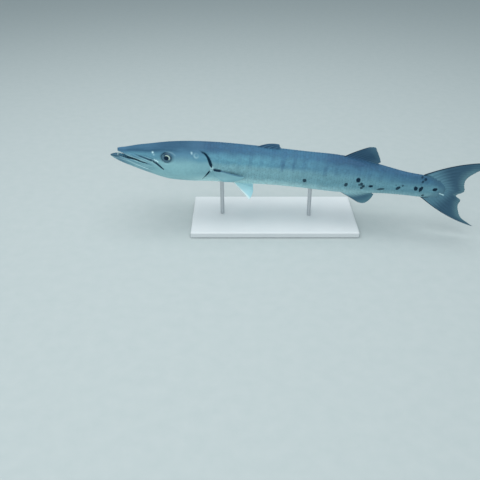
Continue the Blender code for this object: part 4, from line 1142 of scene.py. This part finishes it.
# Fins: material, start and end of the membrane's colour, colours of the membrane, the trailing part,
# the rays and the leading edge, that edge's width, and the tail fin's own colour at its root
FIN_LOOKS = (
    ("fin_spiny", (-0.05, 0.10), (0.030, 0.092, 0.172), (0.044, 0.132, 0.226),
     (0.140, 0.320, 0.440), (0.026, 0.080, 0.140), 0.03),
    ("fin_dark", (0.02, 0.34), (0.024, 0.080, 0.142), (0.066, 0.160, 0.222),
     (0.013, 0.048, 0.088), (0.006, 0.024, 0.048), 0.035),
    ("fin_dusky", (0.10, 0.62), (0.058, 0.155, 0.228), (0.120, 0.275, 0.330),
     (0.040, 0.112, 0.165), (0.016, 0.055, 0.090), 0.04),
    ("fin_tail", (1.035, 1.120), (0.035, 0.098, 0.156), (0.120, 0.250, 0.290),
     (0.020, 0.064, 0.110), (0.008, 0.032, 0.060), 0.018, (0.095, 0.225, 0.298)),
    # The pectoral fin's leading edge is darker, partly as painted shade along its upper edge
    ("fin_pectoral", (0.20, 1.10), (0.240, 0.480, 0.540), (0.230, 0.460, 0.520),
     (0.180, 0.400, 0.470), (0.110, 0.250, 0.330), 0.04),
    ("fin_pelvic", (-0.05, 0.16), (0.500, 0.820, 0.890), (0.420, 0.760, 0.840),
     (0.620, 0.900, 0.950), (0.800, 0.980, 1.000), 0.20),
)

# Dusky bars of the upper flank: start and pitch of their wave, as shares of length
BAR_FIRST = 0.215
BAR_PITCH = 0.0345
# Black blotches: share of length, height, half length, half height, slant, strength
BLOTCHES = ((0.5978, -0.0178, 0.0060, 0.0062, 0.0, 0.90), (0.7306, -0.0190, 0.0054, 0.0066, 0.3, 0.85),
            (0.7674, -0.0008, 0.0066, 0.0080, 0.1, 1.0), (0.7794, -0.0120, 0.0048, 0.0050, 0.0, 0.85),
            (0.7735, -0.0151, 0.0044, 0.0036, 0.0, 0.70), (0.7855, -0.0188, 0.0050, 0.0048, 0.3, 0.85),
            (0.7806, -0.0255, 0.0046, 0.0048, 0.0, 0.80), (0.8084, -0.0165, 0.0066, 0.0042, 0.2, 1.0),
            (0.8408, -0.0230, 0.0110, 0.0036, 0.25, 0.80), (0.8930, -0.0134, 0.0066, 0.0058, 0.5, 0.90),
            (0.9065, -0.0040, 0.0032, 0.0038, 0.0, 0.60), (0.8863, -0.0046, 0.0028, 0.0024, 0.0, 0.35),
            (0.9468, -0.0087, 0.0060, 0.0066, 0.0, 1.0), (0.9622, -0.0092, 0.0058, 0.0082, 0.6, 1.0),
            (0.9715, -0.0298, 0.0046, 0.0034, 0.2, 0.85), (0.9600, 0.0252, 0.0032, 0.0034, 0.0, 0.80),
            (0.9711, 0.0202, 0.0042, 0.0042, 0.0, 0.85), (0.9638, 0.0135, 0.0040, 0.0036, 0.2, 0.80),
            (1.0048, -0.0074, 0.0068, 0.0052, 0.2, 1.0))


class Wiring:
    """Puts nodes in one tree, with a link or a plain value at each input."""

    def __init__(self, tree):
        self.tree = tree

    def node(self, kind, inputs=(), **settings):
        made = self.tree.nodes.new(kind)
        for name, value in settings.items():
            setattr(made, name, value)
        for name, value in dict(inputs).items():
            self.feed(made.inputs[name], value)
        return made

    def feed(self, socket, value):
        if isinstance(value, bpy.types.NodeSocket):
            self.tree.links.new(value, socket)
        elif hasattr(value, "__len__") and socket.type == "RGBA":
            socket.default_value = (*value, 1.0)[:4]
        else:
            socket.default_value = value

    def maths(self, operation, a, b=0.0, c=0.0):
        return self.node("ShaderNodeMath", {0: a, 1: b, 2: c}, operation=operation).outputs[0]

    def chain(self, operation, first, *others):
        """The values taken together one after another by a maths operation."""
        for value in others:
            first = self.maths(operation, first, value)
        return first

    def times(self, *values):
        return self.chain("MULTIPLY", *values)

    def plus(self, *values):
        return self.chain("ADD", *values)

    def most(self, *values):
        return self.chain("MAXIMUM", *values)

    def minus(self, a, b):
        return self.maths("SUBTRACT", a, b)

    def over(self, a, b):
        return self.maths("DIVIDE", a, b)

    def power(self, value, exponent):
        return self.maths("POWER", value, exponent)

    def scaled(self, value, factor, added):
        """value * factor + added."""
        return self.maths("MULTIPLY_ADD", value, factor, added)

    def centred(self, noise, width):
        """Noise of 0 to 1 spread over a width round 0."""
        return self.scaled(noise, width, -width / 2)

    def step(self, value, low, high, to_low=0.0, to_high=1.0):
        """Smooth step of a value from low to high."""
        made = self.node("ShaderNodeMapRange", {"Value": value, "From Min": low, "From Max": high,
                                                "To Min": to_low, "To Max": to_high},
                         interpolation_type="SMOOTHSTEP")
        return made.outputs["Result"]

    def blend(self, share, a, b, mode="MIX"):
        """Colour a turned to b by a share."""
        made = self.node("ShaderNodeMix", {0: share, 6: a, 7: b}, data_type="RGBA", blend_type=mode)
        return made.outputs[2]

    def tinted(self, colour, tint):
        return self.blend(1.0, colour, tint, "MULTIPLY")

    def here(self):
        """Place on the object itself, in metres."""
        return self.node("ShaderNodeTexCoord").outputs["Object"]

    def split(self, vector):
        made = self.node("ShaderNodeSeparateXYZ", {0: vector})
        return made.outputs[0], made.outputs[1], made.outputs[2]

    def join(self, x=0.0, y=0.0, z=0.0):
        return self.node("ShaderNodeCombineXYZ", {0: x, 1: y, 2: z}).outputs[0]

    def noise(self, vector, scale, detail=2.0, rough=0.5):
        made = self.node("ShaderNodeTexNoise", {"Vector": vector, "Scale": scale, "Detail": detail,
                                                "Roughness": rough})
        return made.outputs["Fac"]

    def attribute(self, name, output="Vector"):
        return self.node("ShaderNodeAttribute", attribute_name=name).outputs[output]

    def bump(self, height, distance, strength=1.0):
        made = self.node("ShaderNodeBump", {"Height": height, "Distance": distance, "Strength": strength})
        return made.outputs[0]


def new_group(name, inputs, outputs):
    """Shader node group with named inputs (name, kind, value) and outputs (name, kind)."""
    group = bpy.data.node_groups.new(name, "ShaderNodeTree")
    for label, kind, value in inputs:
        socket = group.interface.new_socket(label, in_out="INPUT", socket_type="NodeSocket" + kind)
        if value is not None:
            socket.default_value = value
    for label, kind in outputs:
        group.interface.new_socket(label, in_out="OUTPUT", socket_type="NodeSocket" + kind)
    wiring = Wiring(group)
    return group, wiring, wiring.node("NodeGroupInput").outputs, wiring.node("NodeGroupOutput").inputs


def blotch_group():
    """One soft-edged slanted oval: 1 inside and 0 outside, its rim broken by a little noise."""
    group, w, given, result = new_group(
        "blotch", [("Place", "Vector", None), ("Ragged", "Float", 0.0), ("Centre", "Vector", None),
                   ("Half Length", "Float", 0.005), ("Half Height", "Float", 0.005),
                   ("Slant", "Float", 0.0)], [("Mask", "Float")])
    offset = w.node("ShaderNodeVectorMath", {0: given["Place"], 1: given["Centre"]}, operation="SUBTRACT")
    x, _, z = w.split(offset.outputs[0])
    lean = w.minus(z, w.times(x, given["Slant"]))
    far = w.power(w.maths("ABSOLUTE", w.over(x, given["Half Length"])), 2.2)
    high = w.power(w.maths("ABSOLUTE", w.over(lean, given["Half Height"])), 2.2)
    reach = w.plus(w.plus(far, high), given["Ragged"])
    w.feed(result["Mask"], w.step(reach, 0.55, 1.35, 1.0, 0.0))
    return group


def side_colour(w, s, soft, dusk):
    """Pale belly and silvery side, duller towards the tail."""
    belly = w.step(soft, 0.34, 0.06)
    side = w.blend(belly, SIDE_COLOUR, BELLY_COLOUR)
    side = w.blend(w.step(s, 0.50, 0.68), side, w.tinted(side, REAR_TINT))
    return w.blend(w.times(dusk, 0.42), side, FLANK_COLOUR)


def upper_colour(w, s, soft, dusk):
    """Steel blue upper flank and back, brighter and darker in turn along the fish."""
    crown = w.step(soft, 0.74, 0.95)
    upper = w.blend(crown, FLANK_COLOUR, BACK_COLOUR)
    upper = w.blend(w.times(dusk, 0.7), upper, BACK_COLOUR)
    on_back = w.times(w.step(s, 0.25, 0.56, 0.92, 1.30), w.step(s, 0.62, 0.70, 1.0, 0.64),
                      w.step(s, 0.22, 0.34, 0.70, 1.0))
    on_flank = w.times(w.step(s, 0.25, 0.42, 1.00, 1.10), w.step(s, 0.45, 0.53, 1.0, 0.78),
                       w.step(s, 0.62, 0.70, 1.0, 0.97))
    bright = w.plus(w.times(crown, on_back), w.times(w.minus(1.0, crown), on_flank))
    bright = w.times(bright, w.step(s, 0.76, 0.83, 1.0, 1.20))
    return w.tinted(upper, w.join(bright, bright, w.power(bright, 0.7)))


def head_colour(w, colour, s, soft):
    """The head's own colours over the body's: cheek, jaws, dark cap and snout."""
    head = w.step(s, 0.30, 0.20)
    cheek = w.blend(w.step(soft, 0.80, 0.47), UPPER_HEAD_COLOUR, CHEEK_COLOUR)
    cheek_share = w.times(w.step(s, 0.11, 0.17), w.step(soft, 0.10, 0.34, 0.80, 0.90))
    lower_share = w.times(w.step(soft, 0.62, 0.50), 0.80)
    colour = w.blend(w.times(head, w.most(cheek_share, lower_share)), colour, cheek)
    jaw = w.times(w.step(s, 0.140, 0.085), w.step(soft, 0.74, 0.58))
    colour = w.blend(jaw, colour, w.tinted(colour, JAW_TINT))
    cap = w.step(w.minus(soft, w.step(s, 0.14, 0.20, 0.0, 0.02)), 0.74, 0.94)
    cap_colour = w.blend(w.step(s, 0.10, 0.16), CROWN_COLOUR, NAPE_COLOUR)
    colour = w.blend(w.times(head, cap, 0.95), colour, cap_colour)
    return w.blend(w.step(s, 0.052, 0.008, 0.0, 0.60), colour, SNOUT_COLOUR)


def bar_share(w, s, level, soft, metres, cloudy, mottle):
    """Dusky bars: a cosine along the flank that leans with height, broken by noise, strongest high up."""
    turn = w.plus(w.times(w.minus(s, BAR_FIRST), 2 * math.pi / BAR_PITCH),
                  w.times(w.minus(level, 0.8), -3.0), w.centred(cloudy, 3.0), w.centred(mottle, 2.4))
    wave = w.step(w.maths("COSINE", turn), 0.0, 0.9)
    span = w.times(w.step(s, 0.24, 0.44), w.step(s, 0.74, 0.60, 0.35, 1.0), w.step(s, 0.98, 0.86),
                   w.step(w.noise(metres, 17.0, 2.0), 0.38, 0.58, 0.25, 1.0))
    foot = w.times(w.step(soft, 0.50, 0.58), w.step(soft, 0.88, 0.72))
    high = w.scaled(w.step(soft, 0.66, 0.84), 0.40, w.times(foot, 0.60))
    return w.times(wave, span, high)


def blotch_share(w, s, q, z, metres):
    """Black blotches, each at its place of the table and a little shifted on the far side."""
    blotch = blotch_group()
    ragged = w.centred(w.noise(metres, 330.0, 2.0), 1.6)
    far_side = w.step(q, 0.0, 0.0002)
    ink = 0.0
    for number, (at, height, half_length, half_height, slant, strength) in enumerate(BLOTCHES):
        shifted = w.minus(s, w.times(far_side, 0.011 * math.sin(2.1 * number)))
        here = w.join(w.times(shifted, STANDARD_LENGTH), 0.0, z)
        made = w.node("ShaderNodeGroup", node_tree=blotch)
        given = {"Place": here, "Ragged": ragged, "Centre": (at * STANDARD_LENGTH, 0.0, height),
                 "Half Length": half_length, "Half Height": half_height, "Slant": slant}
        for label, value in given.items():
            w.feed(made.inputs[label], value)
        ink = w.most(w.times(made.outputs["Mask"], strength), ink)
    return ink


def stem_share(w, s, z, mottle):
    """Dark scaleless root of the tail fin, ahead of its parabola."""
    lift = w.over(w.minus(z, TAIL_ROOT_MIDDLE), TAIL_ROOT_HALF_HEIGHT)
    root = w.scaled(w.power(w.maths("ABSOLUTE", lift), 2.0), -TAIL_ROOT_CURVE, TAIL_ROOT_REAR)
    root = w.plus(w.minus(root, s), w.centred(mottle, 0.012))
    return w.times(w.step(root, 0.034, 0.006), 0.90)


def markings_group():
    """Fish colours from the body place: dark back, pale belly, dusky bars and black blotches."""
    group, w, given, result = new_group(
        "fish_markings", [("Body", "Vector", None), ("Level", "Float", 0.5)],
        [("Color", "Color"), ("Paleness", "Float"), ("Dark", "Float")])
    s, q, z = w.split(given["Body"])
    level = given["Level"]
    metres = w.join(w.times(s, STANDARD_LENGTH), q, z)
    cloudy = w.noise(metres, 28.0, 3.0)
    mottle = w.noise(metres, 120.0, 3.0, 0.6)
    soft = w.plus(level, w.plus(w.centred(cloudy, 0.10), w.centred(mottle, 0.05)))
    edge = w.plus(w.step(s, 0.10, 0.18, 0.53, 0.595), w.step(s, 0.60, 0.92, 0.0, -0.04))
    spread = w.step(s, 0.45, 0.90, 1.0, 2.6)
    back = w.step(w.over(w.minus(soft, edge), spread), -0.05, 0.09)
    dusk = w.step(s, 0.58, 0.98)
    colour = w.blend(back, side_colour(w, s, soft, dusk), upper_colour(w, s, soft, dusk))
    colour = head_colour(w, colour, s, soft)
    bars = bar_share(w, s, level, soft, metres, cloudy, mottle)
    colour = w.blend(w.times(bars, w.step(s, 0.46, 0.54, 0.45, 0.66)), colour, BAR_COLOUR)
    speckle = w.times(w.step(w.noise(metres, 260.0, 2.0), 0.60, 0.72), back)
    colour = w.blend(w.times(speckle, 0.22), colour, BAR_COLOUR)
    colour = w.tinted(colour, w.blend(mottle, *MOTTLE_TINTS))
    stem = w.blend(w.step(z, -0.022, 0.012), *STEM_COLOURS)
    colour = w.blend(stem_share(w, s, z, mottle), colour, stem)
    ink = blotch_share(w, s, q, z, metres)
    w.feed(result["Color"], w.blend(ink, colour, BLOTCH_COLOUR))
    w.feed(result["Paleness"], w.minus(1.0, back))
    w.feed(result["Dark"], w.most(bars, ink))
    return group


def new_material(name, **settings):
    """Principled material with its plain values set on the shader, and a wiring for the rest."""
    material = bpy.data.materials.new(name)
    material.use_nodes = True
    tree = material.node_tree
    shader = tree.nodes["Principled BSDF"]
    for label, value in settings.items():
        socket = shader.inputs[label.replace("_", " ")]
        socket.default_value = (*value, 1.0) if hasattr(value, "__len__") and len(value) == 3 else value
    return material, Wiring(tree), shader.inputs


def marked(w, markings):
    """The shared markings, read from the piece's own body attributes."""
    made = w.node("ShaderNodeGroup", node_tree=markings)
    w.feed(made.inputs["Body"], w.attribute("body"))
    w.feed(made.inputs["Level"], w.attribute("level", "Fac"))
    return made.outputs


def skin_material(markings):
    """Smooth wet skin of the head, with pores, pale streaks on the jaws, painted highlights, and painted
    shade in its slots and creases.
    """
    material, w, shader = new_material("fish_skin", Specular_IOR_Level=0.18, Coat_Roughness=0.30)
    marks = marked(w, markings)
    place_at = w.here()
    s, _, z = w.split(w.attribute("body"))
    fine = w.noise(place_at, 900.0, 3.0, 0.6)
    slope = w.scaled(s, 0.26, z)
    streak = w.noise(w.join(w.times(s, 14.0), 0.0, w.times(slope, 420.0)), 1.0, 2.0)
    jaws = w.times(w.step(s, 0.14, 0.09), w.step(w.attribute("level", "Fac"), 0.78, 0.62))
    pale = w.times(w.times(w.step(streak, 0.50, 0.62), jaws), 0.40)
    dark = w.times(w.times(w.step(streak, 0.48, 0.36), jaws), 0.60)
    colour = w.blend(dark, w.blend(pale, marks["Color"], BELLY_COLOUR), UPPER_HEAD_COLOUR)
    # Painted highlights, then the painted shade of creases, slots and mouth over them
    shade = w.attribute("shade", "Fac")
    colour = w.blend(w.attribute("gleam", "Fac"), colour, GLEAM_COLOUR)
    colour = w.blend(w.times(shade, 0.97), colour, CREASE_SHADE_COLOUR)
    w.feed(shader["Base Color"], colour)
    w.feed(shader["Metallic"], w.times(marks["Paleness"], 0.15))
    rough = w.scaled(marks["Paleness"], -0.22, 0.56)
    rough = w.scaled(shade, 0.30, rough)
    w.feed(shader["Roughness"], w.scaled(fine, 0.16, rough))
    w.feed(shader["Coat Weight"], w.scaled(shade, -0.04, 0.04))
    w.feed(shader["Normal"], w.bump(w.plus(fine, w.times(streak, 0.6)), 0.00012, 0.5))
    return material


def mouth_material():
    """Dark blue, wet inside of the mouth, paler towards its corners."""
    material, w, shader = new_material("mouth_inside", Roughness=0.6, Specular_IOR_Level=0.1)
    place_at = w.here()
    patch = w.noise(place_at, 160.0, 3.0)
    s, _, _ = w.split(w.attribute("body"))
    deep = w.blend(patch, *MOUTH_COLOURS)
    w.feed(shader["Base Color"], w.blend(w.step(s, 0.040, 0.080), deep, MOUTH_CORNER_COLOUR))
    w.feed(shader["Normal"], w.bump(w.noise(place_at, 700.0, 2.0), 0.0002, 0.5))
    return material


def scale_material(markings):
    """Silvery scales: the shared markings, each scale a little different, with a darker free edge."""
    material, w, shader = new_material("fish_scales", Specular_IOR_Level=0.18, Coat_Weight=0.03,
                                       Coat_Roughness=0.30)
    marks = marked(w, markings)
    across, out, tone = w.split(w.attribute("scale"))
    rim = w.most(w.step(out, 0.80, 0.99), w.step(w.maths("ABSOLUTE", across), 0.75, 1.0))
    shade = w.scaled(tone, 0.16, 0.92)
    colour = w.tinted(marks["Color"], w.join(shade, shade, shade))
    s, _, _ = w.split(w.attribute("body"))
    colour = w.blend(w.times(rim, w.step(s, 0.27, 0.36, 0.0, 0.12)), colour, BAR_COLOUR)
    # Painted highlights and painted shade, from the same fields as the skin's
    colour = w.blend(w.attribute("gleam", "Fac"), colour, GLEAM_COLOUR)
    colour = w.blend(w.attribute("shade", "Fac"), colour, CREASE_SHADE_COLOUR)
    ripple = w.maths("SINE", w.times(out, 60.0))
    fine = w.noise(w.here(), 1100.0, 2.0)
    w.feed(shader["Base Color"], colour)
    rough = w.scaled(marks["Paleness"], -0.20, 0.55)
    w.feed(shader["Roughness"], w.scaled(tone, 0.10, rough))
    w.feed(shader["Metallic"], w.times(marks["Paleness"], 0.25))
    w.feed(shader["Normal"], w.bump(w.scaled(ripple, 0.15, fine), 0.00006, 0.4))
    return material


def fin_material(markings, name, opening, membrane, rear, ray, lead, lead_width, near=None):
    """Fin: near colour at the root, then membrane, a paler trailing part, rays and a leading edge, with
    painted shade and highlights.
    """
    material, w, shader = new_material(name, Specular_IOR_Level=0.20, Coat_Weight=0.04, Coat_Roughness=0.30)
    across, out, relief = w.split(w.attribute("fin"))
    s, _, z = w.split(w.attribute("body"))
    place_at = w.here()
    mottle = w.noise(place_at, 90.0, 3.0, 0.6)
    fibre = w.noise(w.join(w.times(across, 70.0), w.times(out, 2.5), 0.0), 1.0, 2.0)
    uneven = w.plus(w.centred(mottle, 0.20), w.centred(fibre, 0.24))
    reach = w.plus(out, uneven)
    if near is None:
        near = marked(w, markings)["Color"]
        opened = w.step(reach, *opening)
        edge = across
        trail = w.most(w.step(reach, 0.62, 1.0), w.step(w.plus(across, uneven), 0.55, 1.10))
    else:
        lobes = w.plus(s, w.maths("ABSOLUTE", w.plus(z, 0.004)))
        opened = w.step(w.scaled(reach, 0.05, lobes), *opening)
        edge = w.maths("MINIMUM", across, w.minus(1.0, across))
        trail = w.times(w.step(reach, 0.60, 1.0), w.step(edge, 0.04, 0.14, 0.4, 1.0))
    colour = w.blend(opened, near, membrane)
    colour = w.blend(w.times(trail, 0.75), colour, rear)
    rib = w.times(w.step(relief, 0.30, 0.95), w.step(fibre, 0.30, 0.60, 0.15, 0.50))
    colour = w.blend(w.times(rib, w.scaled(opened, 0.75, 0.25)), colour, ray)
    colour = w.blend(w.step(edge, lead_width, 0.4 * lead_width), colour, lead)
    # Painted highlight of the tail fin's glint, then painted shade at the pectoral fin's root and along its
    # upper edge
    colour = w.blend(w.attribute("gleam", "Fac"), colour, GLEAM_COLOUR)
    shade = w.attribute("shade", "Fac")
    colour = w.blend(w.step(shade, 0.0, 0.42), colour, FIN_SHADE_COLOUR)
    colour = w.blend(w.step(shade, 0.42, 1.0), colour, CREASE_SHADE_COLOUR)
    w.feed(shader["Base Color"], colour)
    w.feed(shader["Roughness"], w.scaled(mottle, 0.2, 0.42))
    w.feed(shader["Normal"], w.bump(w.plus(w.noise(place_at, 800.0, 2.0), fibre), 0.0001, 0.4))
    return material


def fin_looks(markings):
    """Materials of the first and second dorsal, anal, tail, pectoral and pelvic fins, in that order."""
    return [fin_material(markings, *look) for look in FIN_LOOKS]


def oval_distance(w, x, y, half_x, half_y):
    """Distance from an oval's middle, 1 on its rim: sqrt((x / half_x)^2 + (y / half_y)^2)."""
    return w.maths("SQRT", w.plus(w.power(w.over(x, half_x), 2.0), w.power(w.over(y, half_y), 2.0)))


def eye_material():
    """Black pupil, pale gold iris with painted light behind and above, dark surround with painted shade along
    its top, under a clear coat.
    """
    material, w, shader = new_material("eye", Roughness=0.35, Specular_IOR_Level=0.10, Coat_Weight=0.12,
                                       Coat_Roughness=0.03)
    x, y, _ = w.split(w.attribute("eye"))
    angle = w.maths("ARCTAN2", y, x)
    pupil = oval_distance(w, x, y, 0.46, 0.43)
    rim = oval_distance(w, w.minus(x, 0.08), w.minus(y, 0.06), 0.64, 0.56)
    streaks = w.noise(w.join(w.times(angle, 2.0), w.times(pupil, 0.6), 0.0), 4.0, 3.0)
    # Painted light: the iris is lighter behind and above
    lit = w.step(w.plus(w.times(x, 0.90), w.times(y, 0.80)), 0.0, 0.36)
    iris = w.blend(lit, *IRIS_COLOURS)
    iris = w.blend(w.times(w.step(streaks, 0.45, 0.75), 0.25), iris, IRIS_STREAK_COLOUR)
    orbit = w.blend(w.step(streaks, 0.4, 0.7), *ORBIT_COLOURS)
    # Painted shade along the top of the surround and under the brow
    top = w.times(w.step(y, 0.40, 0.80), w.step(x, 0.45, -0.25))
    orbit = w.blend(w.times(top, 0.7), orbit, ORBIT_TOP_SHADE_COLOUR)
    brow_shade = w.times(w.step(rim, 1.45, 1.15), w.step(w.plus(y, w.times(x, 0.3)), 0.15, 0.50))
    orbit = w.blend(w.times(brow_shade, 0.7), orbit, BROW_SHADE_COLOUR)
    colour = w.blend(w.step(rim, 0.90, 1.06), iris, orbit)
    w.feed(shader["Base Color"], w.blend(w.step(pupil, 1.10, 0.96), colour, PUPIL_COLOUR))
    return material


def tooth_material():
    """Whitish enamel on the front fangs, painted in the blue shade of the mouth farther back."""
    material, w, shader = new_material("tooth_enamel", Roughness=0.3, Specular_IOR_Level=0.3, Coat_Weight=0.2)
    place_at = w.here()
    front = w.blend(w.noise(place_at, 420.0, 2.0), *FANG_COLOURS)
    x, _, _ = w.split(place_at)
    w.feed(shader["Base Color"], w.blend(w.step(x, -0.462, -0.440), front, SHADED_REAR_TOOTH_COLOUR))
    return material


def base_material():
    """Pale painted board: a low orange-peel in the paint and faint clouding."""
    material, w, shader = new_material("stand_paint", Roughness=0.42)
    place_at = w.here()
    cloud = w.noise(place_at, 9.0, 4.0)
    w.feed(shader["Base Color"], w.blend(cloud, *PAINT_COLOURS))
    w.feed(shader["Roughness"], w.scaled(w.noise(place_at, 60.0, 3.0), 0.16, 0.34))
    w.feed(shader["Normal"], w.bump(w.noise(place_at, 420.0, 2.0), 0.00008, 0.5))
    return material


def rod_material():
    """Brushed steel: fine marks round the rod."""
    material, w, shader = new_material("stand_steel", Metallic=1.0, Roughness=0.3)
    place_at = w.here()
    x, y, z = w.split(place_at)
    marks = w.noise(w.join(w.times(x, 60.0), w.times(y, 60.0), w.times(z, 2600.0)), 1.0, 2.0)
    w.feed(shader["Base Color"], w.blend(marks, *STEEL_COLOURS))
    w.feed(shader["Roughness"], w.scaled(marks, 0.18, 0.22))
    w.feed(shader["Normal"], w.bump(marks, 0.00004, 0.5))
    return material


# Stage: half side of the floor, lights as (name, size, power, place), where they point, sky
FLOOR_HALF_SIDE = 12.0
LIGHTS = (("key", 4.0, 88.0, (-0.3, 0.0, 2.8)), ("fill", 2.4, 20.0, (-0.7, -2.6, 1.0)))
LIT_POINT = (0.0, 0.0, 0.17)
SKY_COLOUR = (0.80, 0.93, 1.0)
SKY_STRENGTH = 0.52


def floor_material():
    """Matt floor, faintly clouded."""
    material, w, shader = new_material("floor", Roughness=0.85)
    w.feed(shader["Base Color"], w.blend(w.noise(w.here(), 30.0, 3.0), *FLOOR_COLOURS))
    return material


def make_light(name, size, power, at):
    """Soft round light at a place, turned to the middle of the fish."""
    data = bpy.data.lights.new(name, "AREA")
    data.shape = "DISK"
    data.size = size
    data.energy = power
    light = new_object(name, data)
    light.location = at
    x, y, z = np.array(LIT_POINT) - np.array(at)
    light.rotation_euler = (math.atan2(math.hypot(x, y), -z), 0.0, math.atan2(-x, y))


def make_stage():
    """Plain pale floor, a large soft light overhead, a smaller one at the side, and a pale sky."""
    look = floor_material()
    side = FLOOR_HALF_SIDE
    mesh = bpy.data.meshes.new("floor")
    mesh.from_pydata([(-side, -side, 0), (side, -side, 0), (side, side, 0), (-side, side, 0)], [],
                     [(0, 1, 2, 3)])
    mesh.materials.append(look)
    new_object("floor", mesh)
    for light in LIGHTS:
        make_light(*light)
    world = bpy.data.worlds.new("studio")
    world.use_nodes = True
    sky = world.node_tree.nodes["Background"].inputs
    sky["Color"].default_value = (*SKY_COLOUR, 1.0)
    sky["Strength"].default_value = SKY_STRENGTH
    bpy.context.scene.world = world
    bpy.context.scene.view_settings.view_transform = "Standard"


def make_camera():
    """Camera that sees the spine's middle at its pixel, from VIEW_DISTANCE at VIEW_ELEVATION."""
    half = PICTURE_SIDE / 2
    focus = half / math.tan(FIELD_OF_VIEW / 2)
    right = (BODY_MIDDLE_PIXEL[0] - half) / focus
    rise = (half - BODY_MIDDLE_PIXEL[1]) / focus
    down = VIEW_ELEVATION + math.atan(rise)
    forward = np.array([0.0, math.cos(down), -math.sin(down)])
    up = np.array([0.0, math.sin(down), math.cos(down)])
    ray = forward + right * np.array([1.0, 0.0, 0.0]) + rise * up
    data = bpy.data.cameras.new("camera")
    data.sensor_width = SENSOR_WIDTH
    data.angle = FIELD_OF_VIEW
    camera = new_object("camera", data)
    camera.location = np.array([0.0, 0.0, SPINE_HEIGHT]) - VIEW_DISTANCE * ray
    camera.rotation_euler = (math.pi / 2 - down, 0.0, 0.0)
    bpy.context.scene.camera = camera


def on_both_sides(make, name, look):
    """One piece on the fish's left side and one on its right."""
    for side, word in ((-1, "left"), (1, "right")):
        make(side, name + "_" + word, look)


def build():
    """Makes every piece, its material and the stage."""
    markings = markings_group()
    make_skin([skin_material(markings), mouth_material()])
    on_both_sides(make_eye, "eye", eye_material())
    tooth_look = tooth_material()
    make_teeth("upper_teeth", True, tooth_look)
    make_teeth("lower_teeth", False, tooth_look)
    *midline, pectoral, pelvic = fin_looks(markings)
    make_midline_fins(midline)
    on_both_sides(make_pectoral, "pectoral_fin", pectoral)
    on_both_sides(make_pelvic, "pelvic_fin", pelvic)
    on_both_sides(make_scales, "scales", scale_material(markings))
    for name, look in (("stand_base", base_material()), ("stand_rod_front", rod_material()),
                       ("stand_rod_rear", rod_material())):
        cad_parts[name].data.materials.clear()
        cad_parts[name].data.materials.append(look)
    make_stage()
    make_camera()


build()
